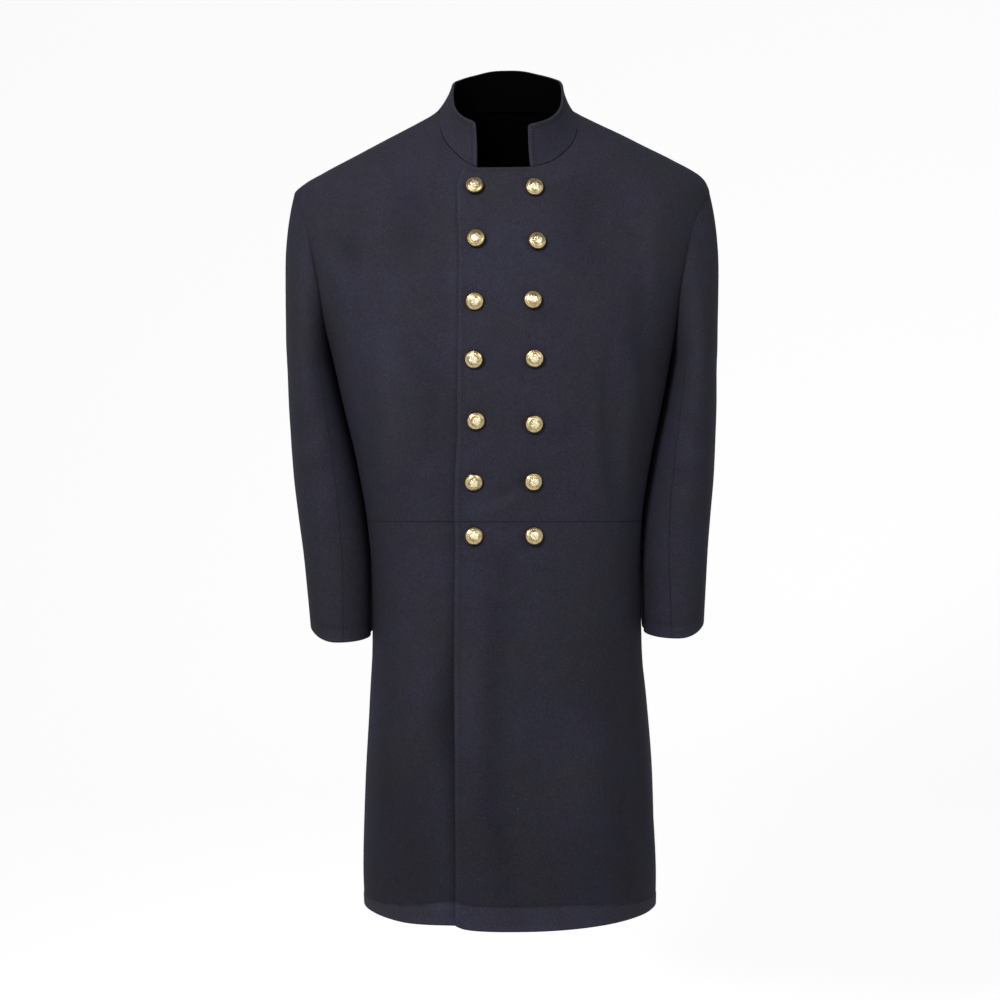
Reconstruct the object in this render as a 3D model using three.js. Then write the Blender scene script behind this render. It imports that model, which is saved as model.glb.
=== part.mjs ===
// A knee-length double-breasted naval officer's frock coat in dark wool, worn-shaped and empty.
// Millimetres, +Z up. The front faces -Y and the wearer's left is +X.
// The origin is where the wearer carries it: the middle of the neck, level with the shoulders' inner ends.
import * as THREE from "three";

// Driving dimensions of the cloth.
const WALL = 3;
const SLEEVE_WALL = 2.6;
const LINING_WALL = 1;
const GAP = 0.3;
const LAYER = WALL + 1.2;

// Driving heights.
const NECK_FRONT = -73;
const WAIST = -498;
const HEM = -973;
const ARMHOLE = { top: -88, bottom: -290, middle: 4, front: 64, back: 66 };

// The body as level sections: half width, depth in front of and behind the side line,
// squareness of the section (2 is an ellipse) and the sideways lean of its middle.
const SECTIONS = [
  { z: 34, width: 72, front: 40, back: 74, square: 2, lean: 0 },
  { z: 23, width: 76, front: 42, back: 79, square: 2, lean: 0 },
  { z: 15, width: 82.8, front: 44, back: 83, square: 2, lean: 0 },
  { z: 8, width: 93, front: 47, back: 88, square: 2, lean: 1.6 },
  { z: -3, width: 113.6, front: 54, back: 93, square: 2, lean: 2.8 },
  { z: -18, width: 144, front: 62, back: 99, square: 2, lean: 4.5 },
  { z: -33, width: 172.7, front: 73, back: 104, square: 2, lean: 5.3 },
  { z: -50, width: 205.5, front: 85, back: 109, square: 2, lean: 6.5 },
  { z: -66, width: 234.5, front: 95, back: 113, square: 2.02, lean: 6 },
  { z: -78, width: 250.5, front: 102, back: 116, square: 2.05, lean: 1.2 },
  { z: -92, width: 259.5, front: 108, back: 119, square: 2.08, lean: -4 },
  { z: -140, width: 254, front: 123, back: 128, square: 2.2, lean: -7 },
  { z: -180, width: 245, front: 132, back: 133, square: 2.3, lean: -7.2 },
  { z: -230, width: 230, front: 139, back: 134, square: 2.35, lean: -6.6 },
  { z: -290, width: 212, front: 143, back: 130, square: 2.4, lean: -4.2 },
  { z: -347, width: 200, front: 142, back: 123, square: 2.35, lean: -3 },
  { z: -420, width: 184, front: 137, back: 113, square: 2.3, lean: -1.9 },
  { z: -498, width: 171.2, front: 132, back: 105, square: 2.25, lean: -0.6 },
  { z: -560, width: 167.2, front: 134, back: 113, square: 2.2, lean: 1.1 },
  { z: -647, width: 168.2, front: 141, back: 131, square: 2.15, lean: 2.9 },
  { z: -722, width: 173.6, front: 149, back: 147, square: 2.12, lean: 4.1 },
  { z: -822, width: 180, front: 160, back: 166, square: 2.08, lean: 5.1 },
  { z: -922, width: 182.7, front: 170, back: 181, square: 2, lean: 6.3 },
  { z: -973, width: 181.2, front: 176, back: 188, square: 2.02, lean: 6.6 },
];

// The neck seam's height by angle, from the middle of the front (0) to the middle of the back (180).
const NECK_SEAM = [
  { angle: 0, z: NECK_FRONT },
  { angle: 6, z: -72 },
  { angle: 11.4, z: -66 },
  { angle: 19, z: -50 },
  { angle: 27.4, z: -33 },
  { angle: 35.7, z: -18 },
  { angle: 50, z: -3 },
  { angle: 64, z: 8 },
  { angle: 90, z: 15 },
  { angle: 120, z: 22 },
  { angle: 150, z: 29 },
  { angle: 180, z: 32 },
];

// Fronts and skirts. The left front's edge lies this far past the middle of the front, by height,
// and the right one's reaches this far under it.
const FRONT_EDGE = [
  { z: -73, over: 55 },
  { z: -99, over: 53.6 },
  { z: -127, over: 51 },
  { z: -184, over: 48.5 },
  { z: -241, over: 50.3 },
  { z: -326, over: 54 },
  { z: -382, over: 54.8 },
  { z: -439, over: 58.5 },
  { z: -480, over: 60.6 },
  { z: -520, over: 60.8 },
  { z: -600, over: 63.8 },
  { z: -683, over: 65.2 },
  { z: -824, over: 65.6 },
  { z: -973, over: 66.8 },
];
const UNDERLAP = 48;
const UNDERLAP_SINK = { full: 64, none: 104 };
const HEM_CORNER = { lift: 5, reach: 9 };
const HEM_SIDES = 0.6;
const UNDER_HEM = { lift: 4.5, full: 60, none: 150 };
const SHOULDER_ANGLE = 99;
const SIDE_SEAM = { onArmhole: 192, waistAngle: 98 };
const BACK_SEAM = { onArmhole: 262, waist: 50, bendArc: 78, bendZ: -310 };
const SHOULDER_ON_ARMHOLE = 348;
const TAIL = { hemWidth: 82, pleat: 22, sinkStart: 8, sinkEnd: 44 };
const VENT = { underlap: 20, sinkTop: -500, sinkFull: -532, open: -540, wide: -580, sinkFrom: 36, sinkTo: 6 };

// The stand collar.
const COLLAR = {
  wall: 2.6,
  footEndAngle: { left: 6, right: 9.5 },
  topEndHalf: { left: 24.6, right: 39 },
  topHalfWidth: 69,
  topFront: -98,
  topBack: 74,
  topLean: 3,
  topTilt: 0.01,
  tiltFrom: -60,
  tiltFull: 40,
  middleY: -12,
  footLift: 0.5,
  footRise: 0.9,
  riseAt: 1.6,
  hollow: 2.2,
  square: 2.6,
  rows: 3,
};
const COLLAR_TOP = [
  { y: -98, z: -22 },
  { y: -86, z: -14 },
  { y: -66, z: -1 },
  { y: -45, z: 13 },
  { y: -20, z: 33 },
  { y: 0, z: 46 },
  { y: 20, z: 55.5 },
  { y: 40, z: 62.5 },
  { y: 56, z: 69.2 },
  { y: 67, z: 75 },
  { y: 74, z: 81 },
];

// The sleeves as level sections below the armhole: outer edge, middle and half depth front to back.
// Behind the body's widest line a sleeve is pressed on the body, round the turn given here.
const SLEEVE_CLEAR = 0.9;
const SLEEVE_PRESS = { turn: 208, none: 0.8, full: 0.97, clear: 2.2 };
const SLEEVE = [
  { z: -302, outer: 267.5, middle: 4, depth: 77 },
  { z: -347, outer: 266.9, middle: 3, depth: 75 },
  { z: -397, outer: 264.8, middle: 2, depth: 72 },
  { z: -447, outer: 261.9, middle: 0, depth: 68 },
  { z: -497, outer: 256.9, middle: -3, depth: 63 },
  { z: -547, outer: 251.4, middle: -8, depth: 59 },
  { z: -597, outer: 247, middle: -14, depth: 56 },
  { z: -640, outer: 243.3, middle: -20, depth: 53 },
];
const CUFF = { frontDrop: 5, outerLift: 12, liftPower: 2.5, leftShorter: 5 };
const FRONT_ARM_SEAM = { armhole: 135, cuff: 100 };
const BACK_ARM_SEAM = { armhole: 268, cuff: 252 };
const CAP_RINGS = 4;
const ARM_RINGS = 9;

// Brass buttons: seven rows, the first column near the front edge.
const BUTTON = { radius: 11, dome: 5.2, rim: 1.6, shank: 3.2, shankRadius: 3, segments: 12 };
const BUTTON_ROWS = [
  { z: -98.6, edgeX: -36.6, farX: 34.5, farDrop: 1 },
  { z: -163, edgeX: -34.2, farX: 36.7, farDrop: 3.5 },
  { z: -237.5, edgeX: -36.6, farX: 31.8, farDrop: -1 },
  { z: -306, edgeX: -36.5, farX: 34.1, farDrop: -1 },
  { z: -378, edgeX: -35.3, farX: 33, farDrop: 3.5 },
  { z: -449.6, edgeX: -37.7, farX: 31.8, farDrop: 0 },
  { z: -514.5, edgeX: -37.7, farX: 33, farDrop: 0 },
];

// Colours from the picture.
const WOOL = new THREE.MeshStandardMaterial({ color: 0x32313c, roughness: 0.95, metalness: 0 });
const LINING = new THREE.MeshStandardMaterial({ color: 0x050506, roughness: 0.6, metalness: 0 });
const BRASS = new THREE.MeshStandardMaterial({ color: 0xd9c07a, roughness: 0.3, metalness: 1 });

const rad = THREE.MathUtils.degToRad;
const mix = THREE.MathUtils.lerp;
const ease = THREE.MathUtils.smoothstep;

// A smooth curve through a table's column that never overshoots its rows.
function column(rows, at, key) {
  const sorted = [...rows].sort((p, q) => p[at] - q[at]);
  const x = sorted.map((row) => row[at]);
  const y = sorted.map((row) => row[key]);
  const slope = x.slice(1).map((v, i) => (y[i + 1] - y[i]) / (v - x[i]));
  const tangent = x.map((_, i) => {
    const before = slope[Math.max(0, i - 1)];
    const after = slope[Math.min(slope.length - 1, i)];
    return before * after <= 0 ? 0 : (2 * before * after) / (before + after);
  });
  return (v) => {
    const t = THREE.MathUtils.clamp(v, x[0], x[x.length - 1]);
    let i = 0;
    while (i < x.length - 2 && t > x[i + 1]) i += 1;
    const h = x[i + 1] - x[i];
    const s = (t - x[i]) / h;
    const s2 = s * s;
    const s3 = s2 * s;
    return (
      (2 * s3 - 3 * s2 + 1) * y[i] +
      (s3 - 2 * s2 + s) * h * tangent[i] +
      (3 * s2 - 2 * s3) * y[i + 1] +
      (s3 - s2) * h * tangent[i + 1]
    );
  };
}

const halfWidth = column(SECTIONS, "z", "width");
const frontDepth = column(SECTIONS, "z", "front");
const backDepth = column(SECTIONS, "z", "back");
const squareness = column(SECTIONS, "z", "square");
const lean = column(SECTIONS, "z", "lean");
const neckHeight = column(NECK_SEAM, "angle", "z");
const frontOver = column(FRONT_EDGE, "z", "over");

// One level section of the body, from the middle of the front round to the middle of the back.
// A place on it is its distance along the cloth, measured from the middle of the front.
const RING_STEPS = 180;
const rings = new Map();
function ring(z) {
  const key = z.toFixed(4);
  if (rings.has(key)) return rings.get(key);
  const power = 2 / squareness(z);
  const points = [];
  const arcs = [0];
  for (let i = 0; i <= RING_STEPS; i += 1) {
    const angle = (Math.PI * i) / RING_STEPS;
    const depth = Math.cos(angle) >= 0 ? frontDepth(z) : backDepth(z);
    const x = halfWidth(z) * Math.abs(Math.sin(angle)) ** power;
    const y = -depth * Math.sign(Math.cos(angle)) * Math.abs(Math.cos(angle)) ** power;
    points.push({ x, y });
    if (i) arcs.push(arcs[i - 1] + Math.hypot(x - points[i - 1].x, y - points[i - 1].y));
  }
  const made = { points, arcs, half: arcs[RING_STEPS] };
  rings.set(key, made);
  return made;
}

// The distance along a section to an angle, in degrees.
function arcAtAngle(angle, z) {
  const { arcs } = ring(z);
  const place = (THREE.MathUtils.clamp(angle, 0, 180) / 180) * RING_STEPS;
  const i = Math.min(RING_STEPS - 1, Math.floor(place));
  return mix(arcs[i], arcs[i + 1], place - i);
}

// The distance along a section to a sideways place on the front of the coat.
function arcAtX(x, z) {
  const { points, arcs } = ring(z);
  let i = 0;
  while (i < RING_STEPS / 2 - 1 && points[i + 1].x < Math.abs(x)) i += 1;
  const part = (Math.abs(x) - points[i].x) / (points[i + 1].x - points[i].x);
  return Math.sign(x) * mix(arcs[i], arcs[i + 1], part);
}

// A point of the coat's outer surface: side is 1 for the wearer's left and -1 for the right.
function surface(arc, z, side) {
  const { points, arcs, half } = ring(z);
  let along = Math.abs(arc);
  let turn = Math.sign(arc) || 1;
  if (along > half) {
    along = 2 * half - along;
    turn = -turn;
  }
  let low = 0;
  let high = RING_STEPS;
  while (high - low > 1) {
    const middle = (low + high) >> 1;
    if (arcs[middle] <= along) low = middle;
    else high = middle;
  }
  const part = (along - arcs[low]) / (arcs[high] - arcs[low]);
  const x = mix(points[low].x, points[high].x, part);
  const y = mix(points[low].y, points[high].y, part);
  return new THREE.Vector3(lean(z) + side * turn * x, y, z);
}

const STEP = 1.5;
function surfaceNormal(arc, z, side) {
  const round = surface(arc + STEP, z, side).sub(surface(arc - STEP, z, side));
  const up = surface(arc, z + STEP, side).sub(surface(arc, z - STEP, side));
  return round.cross(up).multiplyScalar(side).normalize();
}

// A closed wall of cloth from two grids of points, outer and inner. The outside is to the right
// of the columns' direction when the rows go up, or to the left where mirrored. Four points out of
// flat are split into two triangles along one diagonal, or along the other where turned.
function wallOf(outer, inner, mirrored, turned = () => false) {
  const rows = outer.length;
  const cols = outer[0].length;
  const positions = [];
  for (const p of [outer, inner].flat(2)) positions.push(p.x, p.y, p.z);
  const at = (layer, r, c) => layer * rows * cols + r * cols + c;
  const faces = [];
  const quad = (a, b, c, d, other = false) => {
    const two = other ? [a, b, d, b, c, d] : [a, b, c, a, c, d];
    faces.push(...(mirrored ? two.reverse() : two));
  };
  for (let r = 0; r < rows - 1; r += 1) {
    for (let c = 0; c < cols - 1; c += 1) {
      quad(at(0, r, c), at(0, r, c + 1), at(0, r + 1, c + 1), at(0, r + 1, c), turned(c));
      quad(at(1, r, c), at(1, r + 1, c), at(1, r + 1, c + 1), at(1, r, c + 1), turned(c));
    }
    quad(at(0, r, 0), at(0, r + 1, 0), at(1, r + 1, 0), at(1, r, 0));
    quad(at(0, r, cols - 1), at(1, r, cols - 1), at(1, r + 1, cols - 1), at(0, r + 1, cols - 1));
  }
  for (let c = 0; c < cols - 1; c += 1) {
    quad(at(0, 0, c), at(1, 0, c), at(1, 0, c + 1), at(0, 0, c + 1));
    quad(at(0, rows - 1, c), at(0, rows - 1, c + 1), at(1, rows - 1, c + 1), at(1, rows - 1, c));
  }
  const geometry = new THREE.BufferGeometry();
  geometry.setAttribute("position", new THREE.Float32BufferAttribute(positions, 3));
  geometry.setIndex(faces);
  geometry.computeVertexNormals();
  return geometry;
}

const coat = new THREE.Group();
function piece(name, geometry, material) {
  const mesh = new THREE.Mesh(geometry, material);
  mesh.name = name;
  coat.add(mesh);
  return mesh;
}

// Fills a patch between four edges, each a list of places {arc, z} on the cloth. The left edge's
// rows gather towards its top by a power, and the right edge's shape fades out quickly inwards.
const gather = (u, power) => 1 - (1 - u) ** power;
const FADE = 2.5;
function patch(bottom, top, left, right, power = 1) {
  const cols = bottom.length - 1;
  const rows = left.length - 1;
  const value = (key, i, j) => {
    const s = i / cols;
    const t = mix(gather(j / rows, power), j / rows, s);
    const leftBend = left[j][key] - mix(left[0][key], left[rows][key], gather(j / rows, power));
    const rightBend = right[j][key] - mix(right[0][key], right[rows][key], j / rows);
    return mix(bottom[i][key], top[i][key], t) + (1 - s) * leftBend + s ** FADE * rightBend;
  };
  return left.map((_, j) => bottom.map((__, i) => ({ arc: value("arc", i, j), z: value("z", i, j) })));
}

// A patch of places turned into a wall: sink(arc, z) moves it inwards under another layer.
function clothPanel(places, side, sink = () => 0, wall = WALL) {
  const layer = (depth) =>
    places.map((row) =>
      row.map(({ arc, z }) =>
        surface(arc, z, side).addScaledVector(surfaceNormal(arc, z, side), -depth - sink(arc, z)),
      ),
    );
  return wallOf(layer(0), layer(wall), side < 0);
}

const steps = (count, make) => Array.from({ length: count + 1 }, (_, i) => make(i / count));

// The armhole: an egg seen from the side, laid on the body's surface. Turn 0 is its top and 90 its front.
function armholePlace(turn) {
  const middleZ = (ARMHOLE.top + ARMHOLE.bottom) / 2;
  const reach = Math.sin(rad(turn)) > 0 ? ARMHOLE.front : ARMHOLE.back;
  const y = ARMHOLE.middle - reach * Math.sin(rad(turn));
  const z = middleZ + ((ARMHOLE.top - ARMHOLE.bottom) / 2) * Math.cos(rad(turn));
  const depth = y < 0 ? frontDepth(z) : backDepth(z);
  const away = Math.acos(Math.min(1, Math.abs(y) / depth) ** (squareness(z) / 2));
  const angle = y < 0 ? THREE.MathUtils.radToDeg(away) : 180 - THREE.MathUtils.radToDeg(away);
  return { arc: arcAtAngle(angle, z), z, angle };
}

const fromBack = (place) => ({ arc: ring(place.z).half - place.arc, z: place.z });
const asArc = ({ arc, z }) => ({ arc: ring(z).half - arc, z });

// Seam lines, each a list of places that the pieces on both sides share.
const COUNT = {
  sideSeam: 6,
  frontArmhole: 9,
  underArmhole: 4,
  backArmhole: 6,
  backSeam: 6,
  shoulder: 6,
  neckFront: 7,
  neckBack: 4,
};
const sideTop = armholePlace(SIDE_SEAM.onArmhole);
const sideSeam = steps(COUNT.sideSeam, (t) => {
  const z = mix(WAIST, sideTop.z, t);
  return { arc: arcAtAngle(mix(SIDE_SEAM.waistAngle, sideTop.angle, t), z), z };
});
const frontArmhole = steps(COUNT.frontArmhole, (t) => {
  return armholePlace(mix(SIDE_SEAM.onArmhole, SHOULDER_ON_ARMHOLE - 360, t));
});
const underArmhole = steps(COUNT.underArmhole, (t) => {
  return armholePlace(mix(SIDE_SEAM.onArmhole, BACK_SEAM.onArmhole, t));
});
const backArmhole = steps(COUNT.backArmhole, (t) => {
  return armholePlace(mix(BACK_SEAM.onArmhole, SHOULDER_ON_ARMHOLE, t));
});
const backTop = fromBack(armholePlace(BACK_SEAM.onArmhole));
const backSeam = steps(COUNT.backSeam, (t) => ({
  arc: (1 - t) ** 2 * BACK_SEAM.waist + 2 * t * (1 - t) * BACK_SEAM.bendArc + t ** 2 * backTop.arc,
  z: (1 - t) ** 2 * WAIST + 2 * t * (1 - t) * BACK_SEAM.bendZ + t ** 2 * backTop.z,
}));
const shoulderTop = { angle: SHOULDER_ANGLE, z: neckHeight(SHOULDER_ANGLE) };
const shoulderEnd = armholePlace(SHOULDER_ON_ARMHOLE);
const shoulderSeam = steps(COUNT.shoulder, (t) => {
  const z = mix(shoulderTop.z, shoulderEnd.z, t);
  return { arc: arcAtAngle(mix(shoulderTop.angle, shoulderEnd.angle, t), z), z };
});
const neckPlace = (angle) => ({ arc: arcAtAngle(angle, neckHeight(angle)), z: neckHeight(angle), angle });
const hand = (side) => (side > 0 ? "left" : "right");
const neckFront = (side) => {
  const start = COLLAR.footEndAngle[hand(side)];
  return steps(COUNT.neckFront, (t) => neckPlace(mix(start, SHOULDER_ANGLE, t ** 1.25)));
};
const neckBack = steps(COUNT.neckBack, (t) => neckPlace(mix(SHOULDER_ANGLE, 180, t)));

const shift = (places, arc, z = 0) => places.map((p) => ({ arc: p.arc + arc, z: p.z + z }));
const frontEdge = (z, under) => (under ? -UNDERLAP : -frontOver(z));
const underSink = (arc) => LAYER * (1 - ease(arc, UNDERLAP_SINK.full, UNDERLAP_SINK.none));

// A forepart runs from the front edge to the side seam, and from the waist to the neck and shoulder.
// The wearer's left one lies on top and the right one reaches under it.
const TOP_EDGE_COLS = 3;
const GATHER = 1.5;
function forepart(side) {
  const under = side < 0;
  const gap = GAP / 2;
  const topZ = NECK_FRONT - (under ? 3 : 0);
  const topStart = { arc: frontEdge(topZ, under), z: topZ };
  const neck = neckFront(side);
  const topEdge = steps(TOP_EDGE_COLS, (t) => ({
    arc: mix(topStart.arc, neck[0].arc, t),
    z: mix(topZ, neck[0].z, t ** 6),
  }));
  const shoulder = shoulderSeam.map((p) => ({ arc: p.arc - gap, z: p.z }));
  const top = [...topEdge.slice(0, -1), ...neck.slice(0, -1), ...shoulder];
  const right = [...shift(sideSeam, -gap).slice(0, -1), ...frontArmhole];
  right[0] = { ...right[0], z: WAIST + gap };
  const rows = right.length - 1;
  const left = steps(rows, (t) => {
    const z = mix(WAIST + gap, topZ, gather(t, GATHER));
    return { arc: frontEdge(z, under), z };
  });
  const cols = top.length - 1;
  const bottom = steps(cols, (t) => ({ arc: mix(left[0].arc, right[0].arc, t), z: WAIST + gap }));
  top[cols] = right[rows];
  return clothPanel(patch(bottom, top, left, right, GATHER), side, under ? underSink : undefined);
}

// The side body fills the side between the forepart and the back, from the armhole to the waist.
function sideBody(side) {
  const gap = GAP / 2;
  const left = shift(sideSeam, gap);
  left[0] = { ...left[0], z: WAIST + gap };
  const right = backSeam.map((p) => asArc({ arc: p.arc + gap, z: p.z }));
  right[0] = { arc: right[0].arc, z: WAIST + gap };
  const bottom = steps(COUNT.underArmhole, (t) => ({
    arc: mix(left[0].arc, right[0].arc, t),
    z: WAIST + gap,
  }));
  return clothPanel(patch(bottom, underArmhole, left, right), side);
}

// Places counted from the middle of the back, in a surface of their own.
function backPanel(places, side, sink, wall = WALL, depth = 0) {
  const asFront = places.map((row) =>
    row.map(({ arc, z }) => ({ arc: ring(z).half - arc, z, fromMiddle: arc })),
  );
  const layer = (inwards) =>
    asFront.map((row) =>
      row.map(({ arc, z, fromMiddle }) =>
        surface(arc, z, side).addScaledVector(
          surfaceNormal(arc, z, side),
          -inwards - sink(fromMiddle, z),
        ),
      ),
    );
  return wallOf(layer(depth), layer(depth + wall), side > 0);
}

function upperBackPatch(inset, middleArc) {
  const top = [...[...neckBack].reverse().map(fromBack), ...[...shoulderSeam].map(fromBack).slice(1)];
  top[0] = { ...top[0], arc: middleArc };
  const armhole = backArmhole.map(fromBack);
  const right = [...shift(backSeam, -inset).slice(0, -1), ...shift(armhole, GAP / 2 - inset)];
  const cols = top.length - 1;
  const shoulderInset = top.map((p, i) => (i >= COUNT.neckBack ? { arc: p.arc - inset, z: p.z } : p));
  shoulderInset[cols] = right[right.length - 1];
  const left = steps(right.length - 1, (t) => ({ arc: middleArc, z: mix(WAIST, top[0].z, t) }));
  const bottom = steps(cols, (t) => ({ arc: mix(middleArc, right[0].arc, t), z: WAIST }));
  return patch(bottom, shoulderInset, left, right);
}

// A back is one piece from the neck to the hem, with a tail beside the vent below the waist.
function back(side) {
  const under = side < 0;
  const gap = GAP / 2;
  const upper = upperBackPatch(gap, gap);
  const cols = upper[0].length - 1;
  const middleEdge = (z) => {
    if (!under) return mix(gap, -1, ease(-z, -VENT.open, -VENT.wide));
    return z > VENT.open ? gap : mix(gap, -VENT.underlap, ease(-z, -VENT.open, -VENT.wide));
  };
  const heights = [HEM, -930, -880, -830, -780, -720, -660, VENT.wide, VENT.open, -517];
  const tail = heights.map((z) => {
    const outerEdge = mix(TAIL.hemWidth, BACK_SEAM.waist, (z - HEM) / (WAIST - HEM)) - gap;
    return steps(cols, (t) => ({ arc: mix(middleEdge(z), outerEdge, t), z }));
  });
  const sink = (arc, z) => {
    const across = 1 - ease(arc, VENT.sinkTo, VENT.sinkFrom);
    const down = ease(-z, -VENT.sinkTop, -VENT.sinkFull);
    return under ? LAYER * across * down : 0;
  };
  return backPanel([...tail, ...upper], side, sink);
}

// A skirt runs from the front edge to its pleat, which lies under the edge of the back's tail.
const SKIRT_ROWS = 9;
const SKIRT_COLS = 17;
function skirt(side) {
  const under = side < 0;
  const tailEdge = (z) => mix(TAIL.hemWidth, BACK_SEAM.waist, (z - HEM) / (WAIST - HEM));
  const places = steps(SKIRT_ROWS, (t) => {
    const z = mix(HEM, WAIST - GAP / 2, t);
    const from = frontEdge(z, under);
    const to = ring(z).half - tailEdge(z) + TAIL.pleat;
    return steps(SKIRT_COLS, (s) => {
      const arc = mix(from, to, s);
      const lift = under
        ? UNDER_HEM.lift * (1 - ease(arc, UNDER_HEM.full, UNDER_HEM.none))
        : HEM_CORNER.lift * Math.exp((from - arc) / HEM_CORNER.reach);
      const round = HEM_SIDES * Math.sin(Math.PI * s) ** 6;
      return { arc, z: z + (lift + round) * (1 - t) ** 4 };
    });
  });
  const sink = (arc, z) => {
    const pastEdge = ring(z).half - arc - tailEdge(z);
    const pleat = (LAYER + 0.6) * (1 - ease(pastEdge, TAIL.sinkStart, TAIL.sinkEnd));
    return pleat + (under ? underSink(arc) : 0);
  };
  return clothPanel(places, side, sink);
}

// The stand collar: its foot follows the neck seam and its top edge is a level-by-level oval.
const collarTopHeight = column(COLLAR_TOP, "y", "z");
function collarTopPoint(angle) {
  const power = 2 / COLLAR.square;
  const middle = (COLLAR.topFront + COLLAR.topBack) / 2;
  const reach = (COLLAR.topBack - COLLAR.topFront) / 2;
  const x = COLLAR.topHalfWidth * Math.abs(Math.sin(angle)) ** power;
  const y = middle - reach * Math.sign(Math.cos(angle)) * Math.abs(Math.cos(angle)) ** power;
  return new THREE.Vector3(x, y, collarTopHeight(y));
}
function collarTopLine(side) {
  const start = Math.asin((COLLAR.topEndHalf[hand(side)] / COLLAR.topHalfWidth) ** (COLLAR.square / 2));
  const fine = steps(200, (t) => collarTopPoint(mix(start, Math.PI, t)));
  const line = new THREE.CatmullRomCurve3(fine, false, "centripetal");
  line.arcLengthDivisions = 400;
  return (t) => line.getPointAt(t);
}
const neckSeam = (side) => [...neckFront(side).slice(0, -1), ...neckBack];
function seamShares(side) {
  const points = neckSeam(side).map(({ arc, z }) => surface(arc, z, side));
  const lengths = [0];
  points.slice(1).forEach((p, i) => lengths.push(lengths[i] + p.distanceTo(points[i])));
  return lengths.map((v) => v / lengths[lengths.length - 1]);
}

function collarGrid(inwards, from, to) {
  const half = (side) => {
    const shares = seamShares(side);
    const topAt = collarTopLine(side);
    return neckSeam(side).map(({ arc, z }, i) => {
      const foot = surface(arc, z, side);
      if (side < 0) foot.addScaledVector(surfaceNormal(arc, z, side), -underSink(arc));
      const rise = Math.sin(Math.PI * Math.min(1, COLLAR.riseAt * shares[i]));
      foot.z += COLLAR.footLift + COLLAR.footRise * rise;
      const head = topAt(Math.min(1, shares[i]));
      head.x = side * head.x + COLLAR.topLean;
      head.z += COLLAR.topTilt * head.x * ease(head.y, COLLAR.tiltFrom, COLLAR.tiltFull);
      const plan = new THREE.Vector3(foot.x, foot.y - COLLAR.middleY, 0).normalize();
      return steps(COLLAR.rows, (u) => {
        const t = mix(from, to, u);
        const hollow = COLLAR.hollow * Math.sin(Math.PI * t ** 0.8);
        return foot.clone().lerp(head, t).addScaledVector(plan, -inwards - hollow);
      });
    });
  };
  const around = [...half(-1), ...half(1).slice(0, -1).reverse()];
  return steps(COLLAR.rows, (t) => around.map((line) => line[Math.round(t * COLLAR.rows)]));
}
const onLeft = (c) => c >= neckSeam(-1).length - 1;
function collar() {
  return wallOf(collarGrid(0, 0, 1), collarGrid(COLLAR.wall, 0, 1), true, onLeft);
}
function collarLining() {
  const start = COLLAR.wall + 3 * GAP;
  const far = start + LINING_WALL;
  return wallOf(collarGrid(start, 0.03, 0.97), collarGrid(far, 0.03, 0.97), true, onLeft);
}

// The back's lining hangs inside both backs, from the neck and shoulders to the waist.
function backLining() {
  const depth = WALL + GAP;
  const rows = upperBackPatch(GAP / 2, GAP / 2);
  const layer = (inwards) =>
    rows.map((row, r) => {
      const points = (side) =>
        row.map(({ arc, z }) => {
          const level = r ? z : z + 3;
          const place = ring(level).half - arc;
          return surface(place, level, side).addScaledVector(surfaceNormal(place, level, side), -inwards);
        });
      return [...points(1).reverse(), ...points(-1)];
    });
  const half = rows[0].length;
  return wallOf(layer(depth), layer(depth + LINING_WALL), false, (c) => c < half);
}

// A sleeve is a tube from the armhole to the cuff. Turn 0 runs down its outer side and 90 down its front.
const sleeveOuter = column(SLEEVE, "z", "outer");
const sleeveMiddle = column(SLEEVE, "z", "middle");
const sleeveDepth = column(SLEEVE, "z", "depth");
const CAP_FOOT = SLEEVE[0].z;
const CUFF_Z = SLEEVE[SLEEVE.length - 1].z;
// Half the body's width at a place in front of or behind its side line.
function bodyHalf(y, z) {
  const depth = y < 0 ? frontDepth(z) : backDepth(z);
  const part = Math.min(1, Math.abs(y) / depth) ** squareness(z);
  return halfWidth(z) * (1 - part) ** (1 / squareness(z));
}
function armPoint(turn, z, side) {
  const inner = halfWidth(z) + SLEEVE_CLEAR;
  const half = (sleeveOuter(z) - inner) / 2;
  const oval = inner + half + half * Math.cos(rad(turn));
  const y = sleeveMiddle(z) - sleeveDepth(z) * Math.sin(rad(turn));
  const pressed = ease(Math.cos(rad(turn - SLEEVE_PRESS.turn)), SLEEVE_PRESS.none, SLEEVE_PRESS.full);
  const x = mix(oval, bodyHalf(y, z) + SLEEVE_PRESS.clear, pressed);
  const toCuff = ease(-z, -CAP_FOOT, -CUFF_Z);
  const lift = CUFF.outerLift * Math.max(0, Math.cos(rad(turn))) ** CUFF.liftPower;
  const drop = CUFF.frontDrop * Math.sin(rad(turn));
  const slope = lift - drop + (side > 0 ? CUFF.leftShorter : 0);
  return new THREE.Vector3(lean(z) + side * x, y, z + slope * toCuff);
}
const SEAM_STEP = 0.6;
const HEAD_STEP = 2.1;
function armholePoint(turn, side) {
  const { arc, z } = armholePlace(turn);
  const point = surface(arc, z, side);
  const normal = surfaceNormal(arc, z, side);
  const heart = new THREE.Vector3(point.x, ARMHOLE.middle, (ARMHOLE.top + ARMHOLE.bottom) / 2);
  const into = heart.sub(point);
  into.addScaledVector(normal, -into.dot(normal)).normalize();
  const top = Math.max(0, Math.cos(rad(turn)));
  return point.addScaledVector(normal, SEAM_STEP).addScaledVector(into, SEAM_STEP + HEAD_STEP * top);
}
const CAP = { start: 0.38, end: 0.75, side: 0.05, topSide: 0.2, forward: 0.14 };
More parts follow.
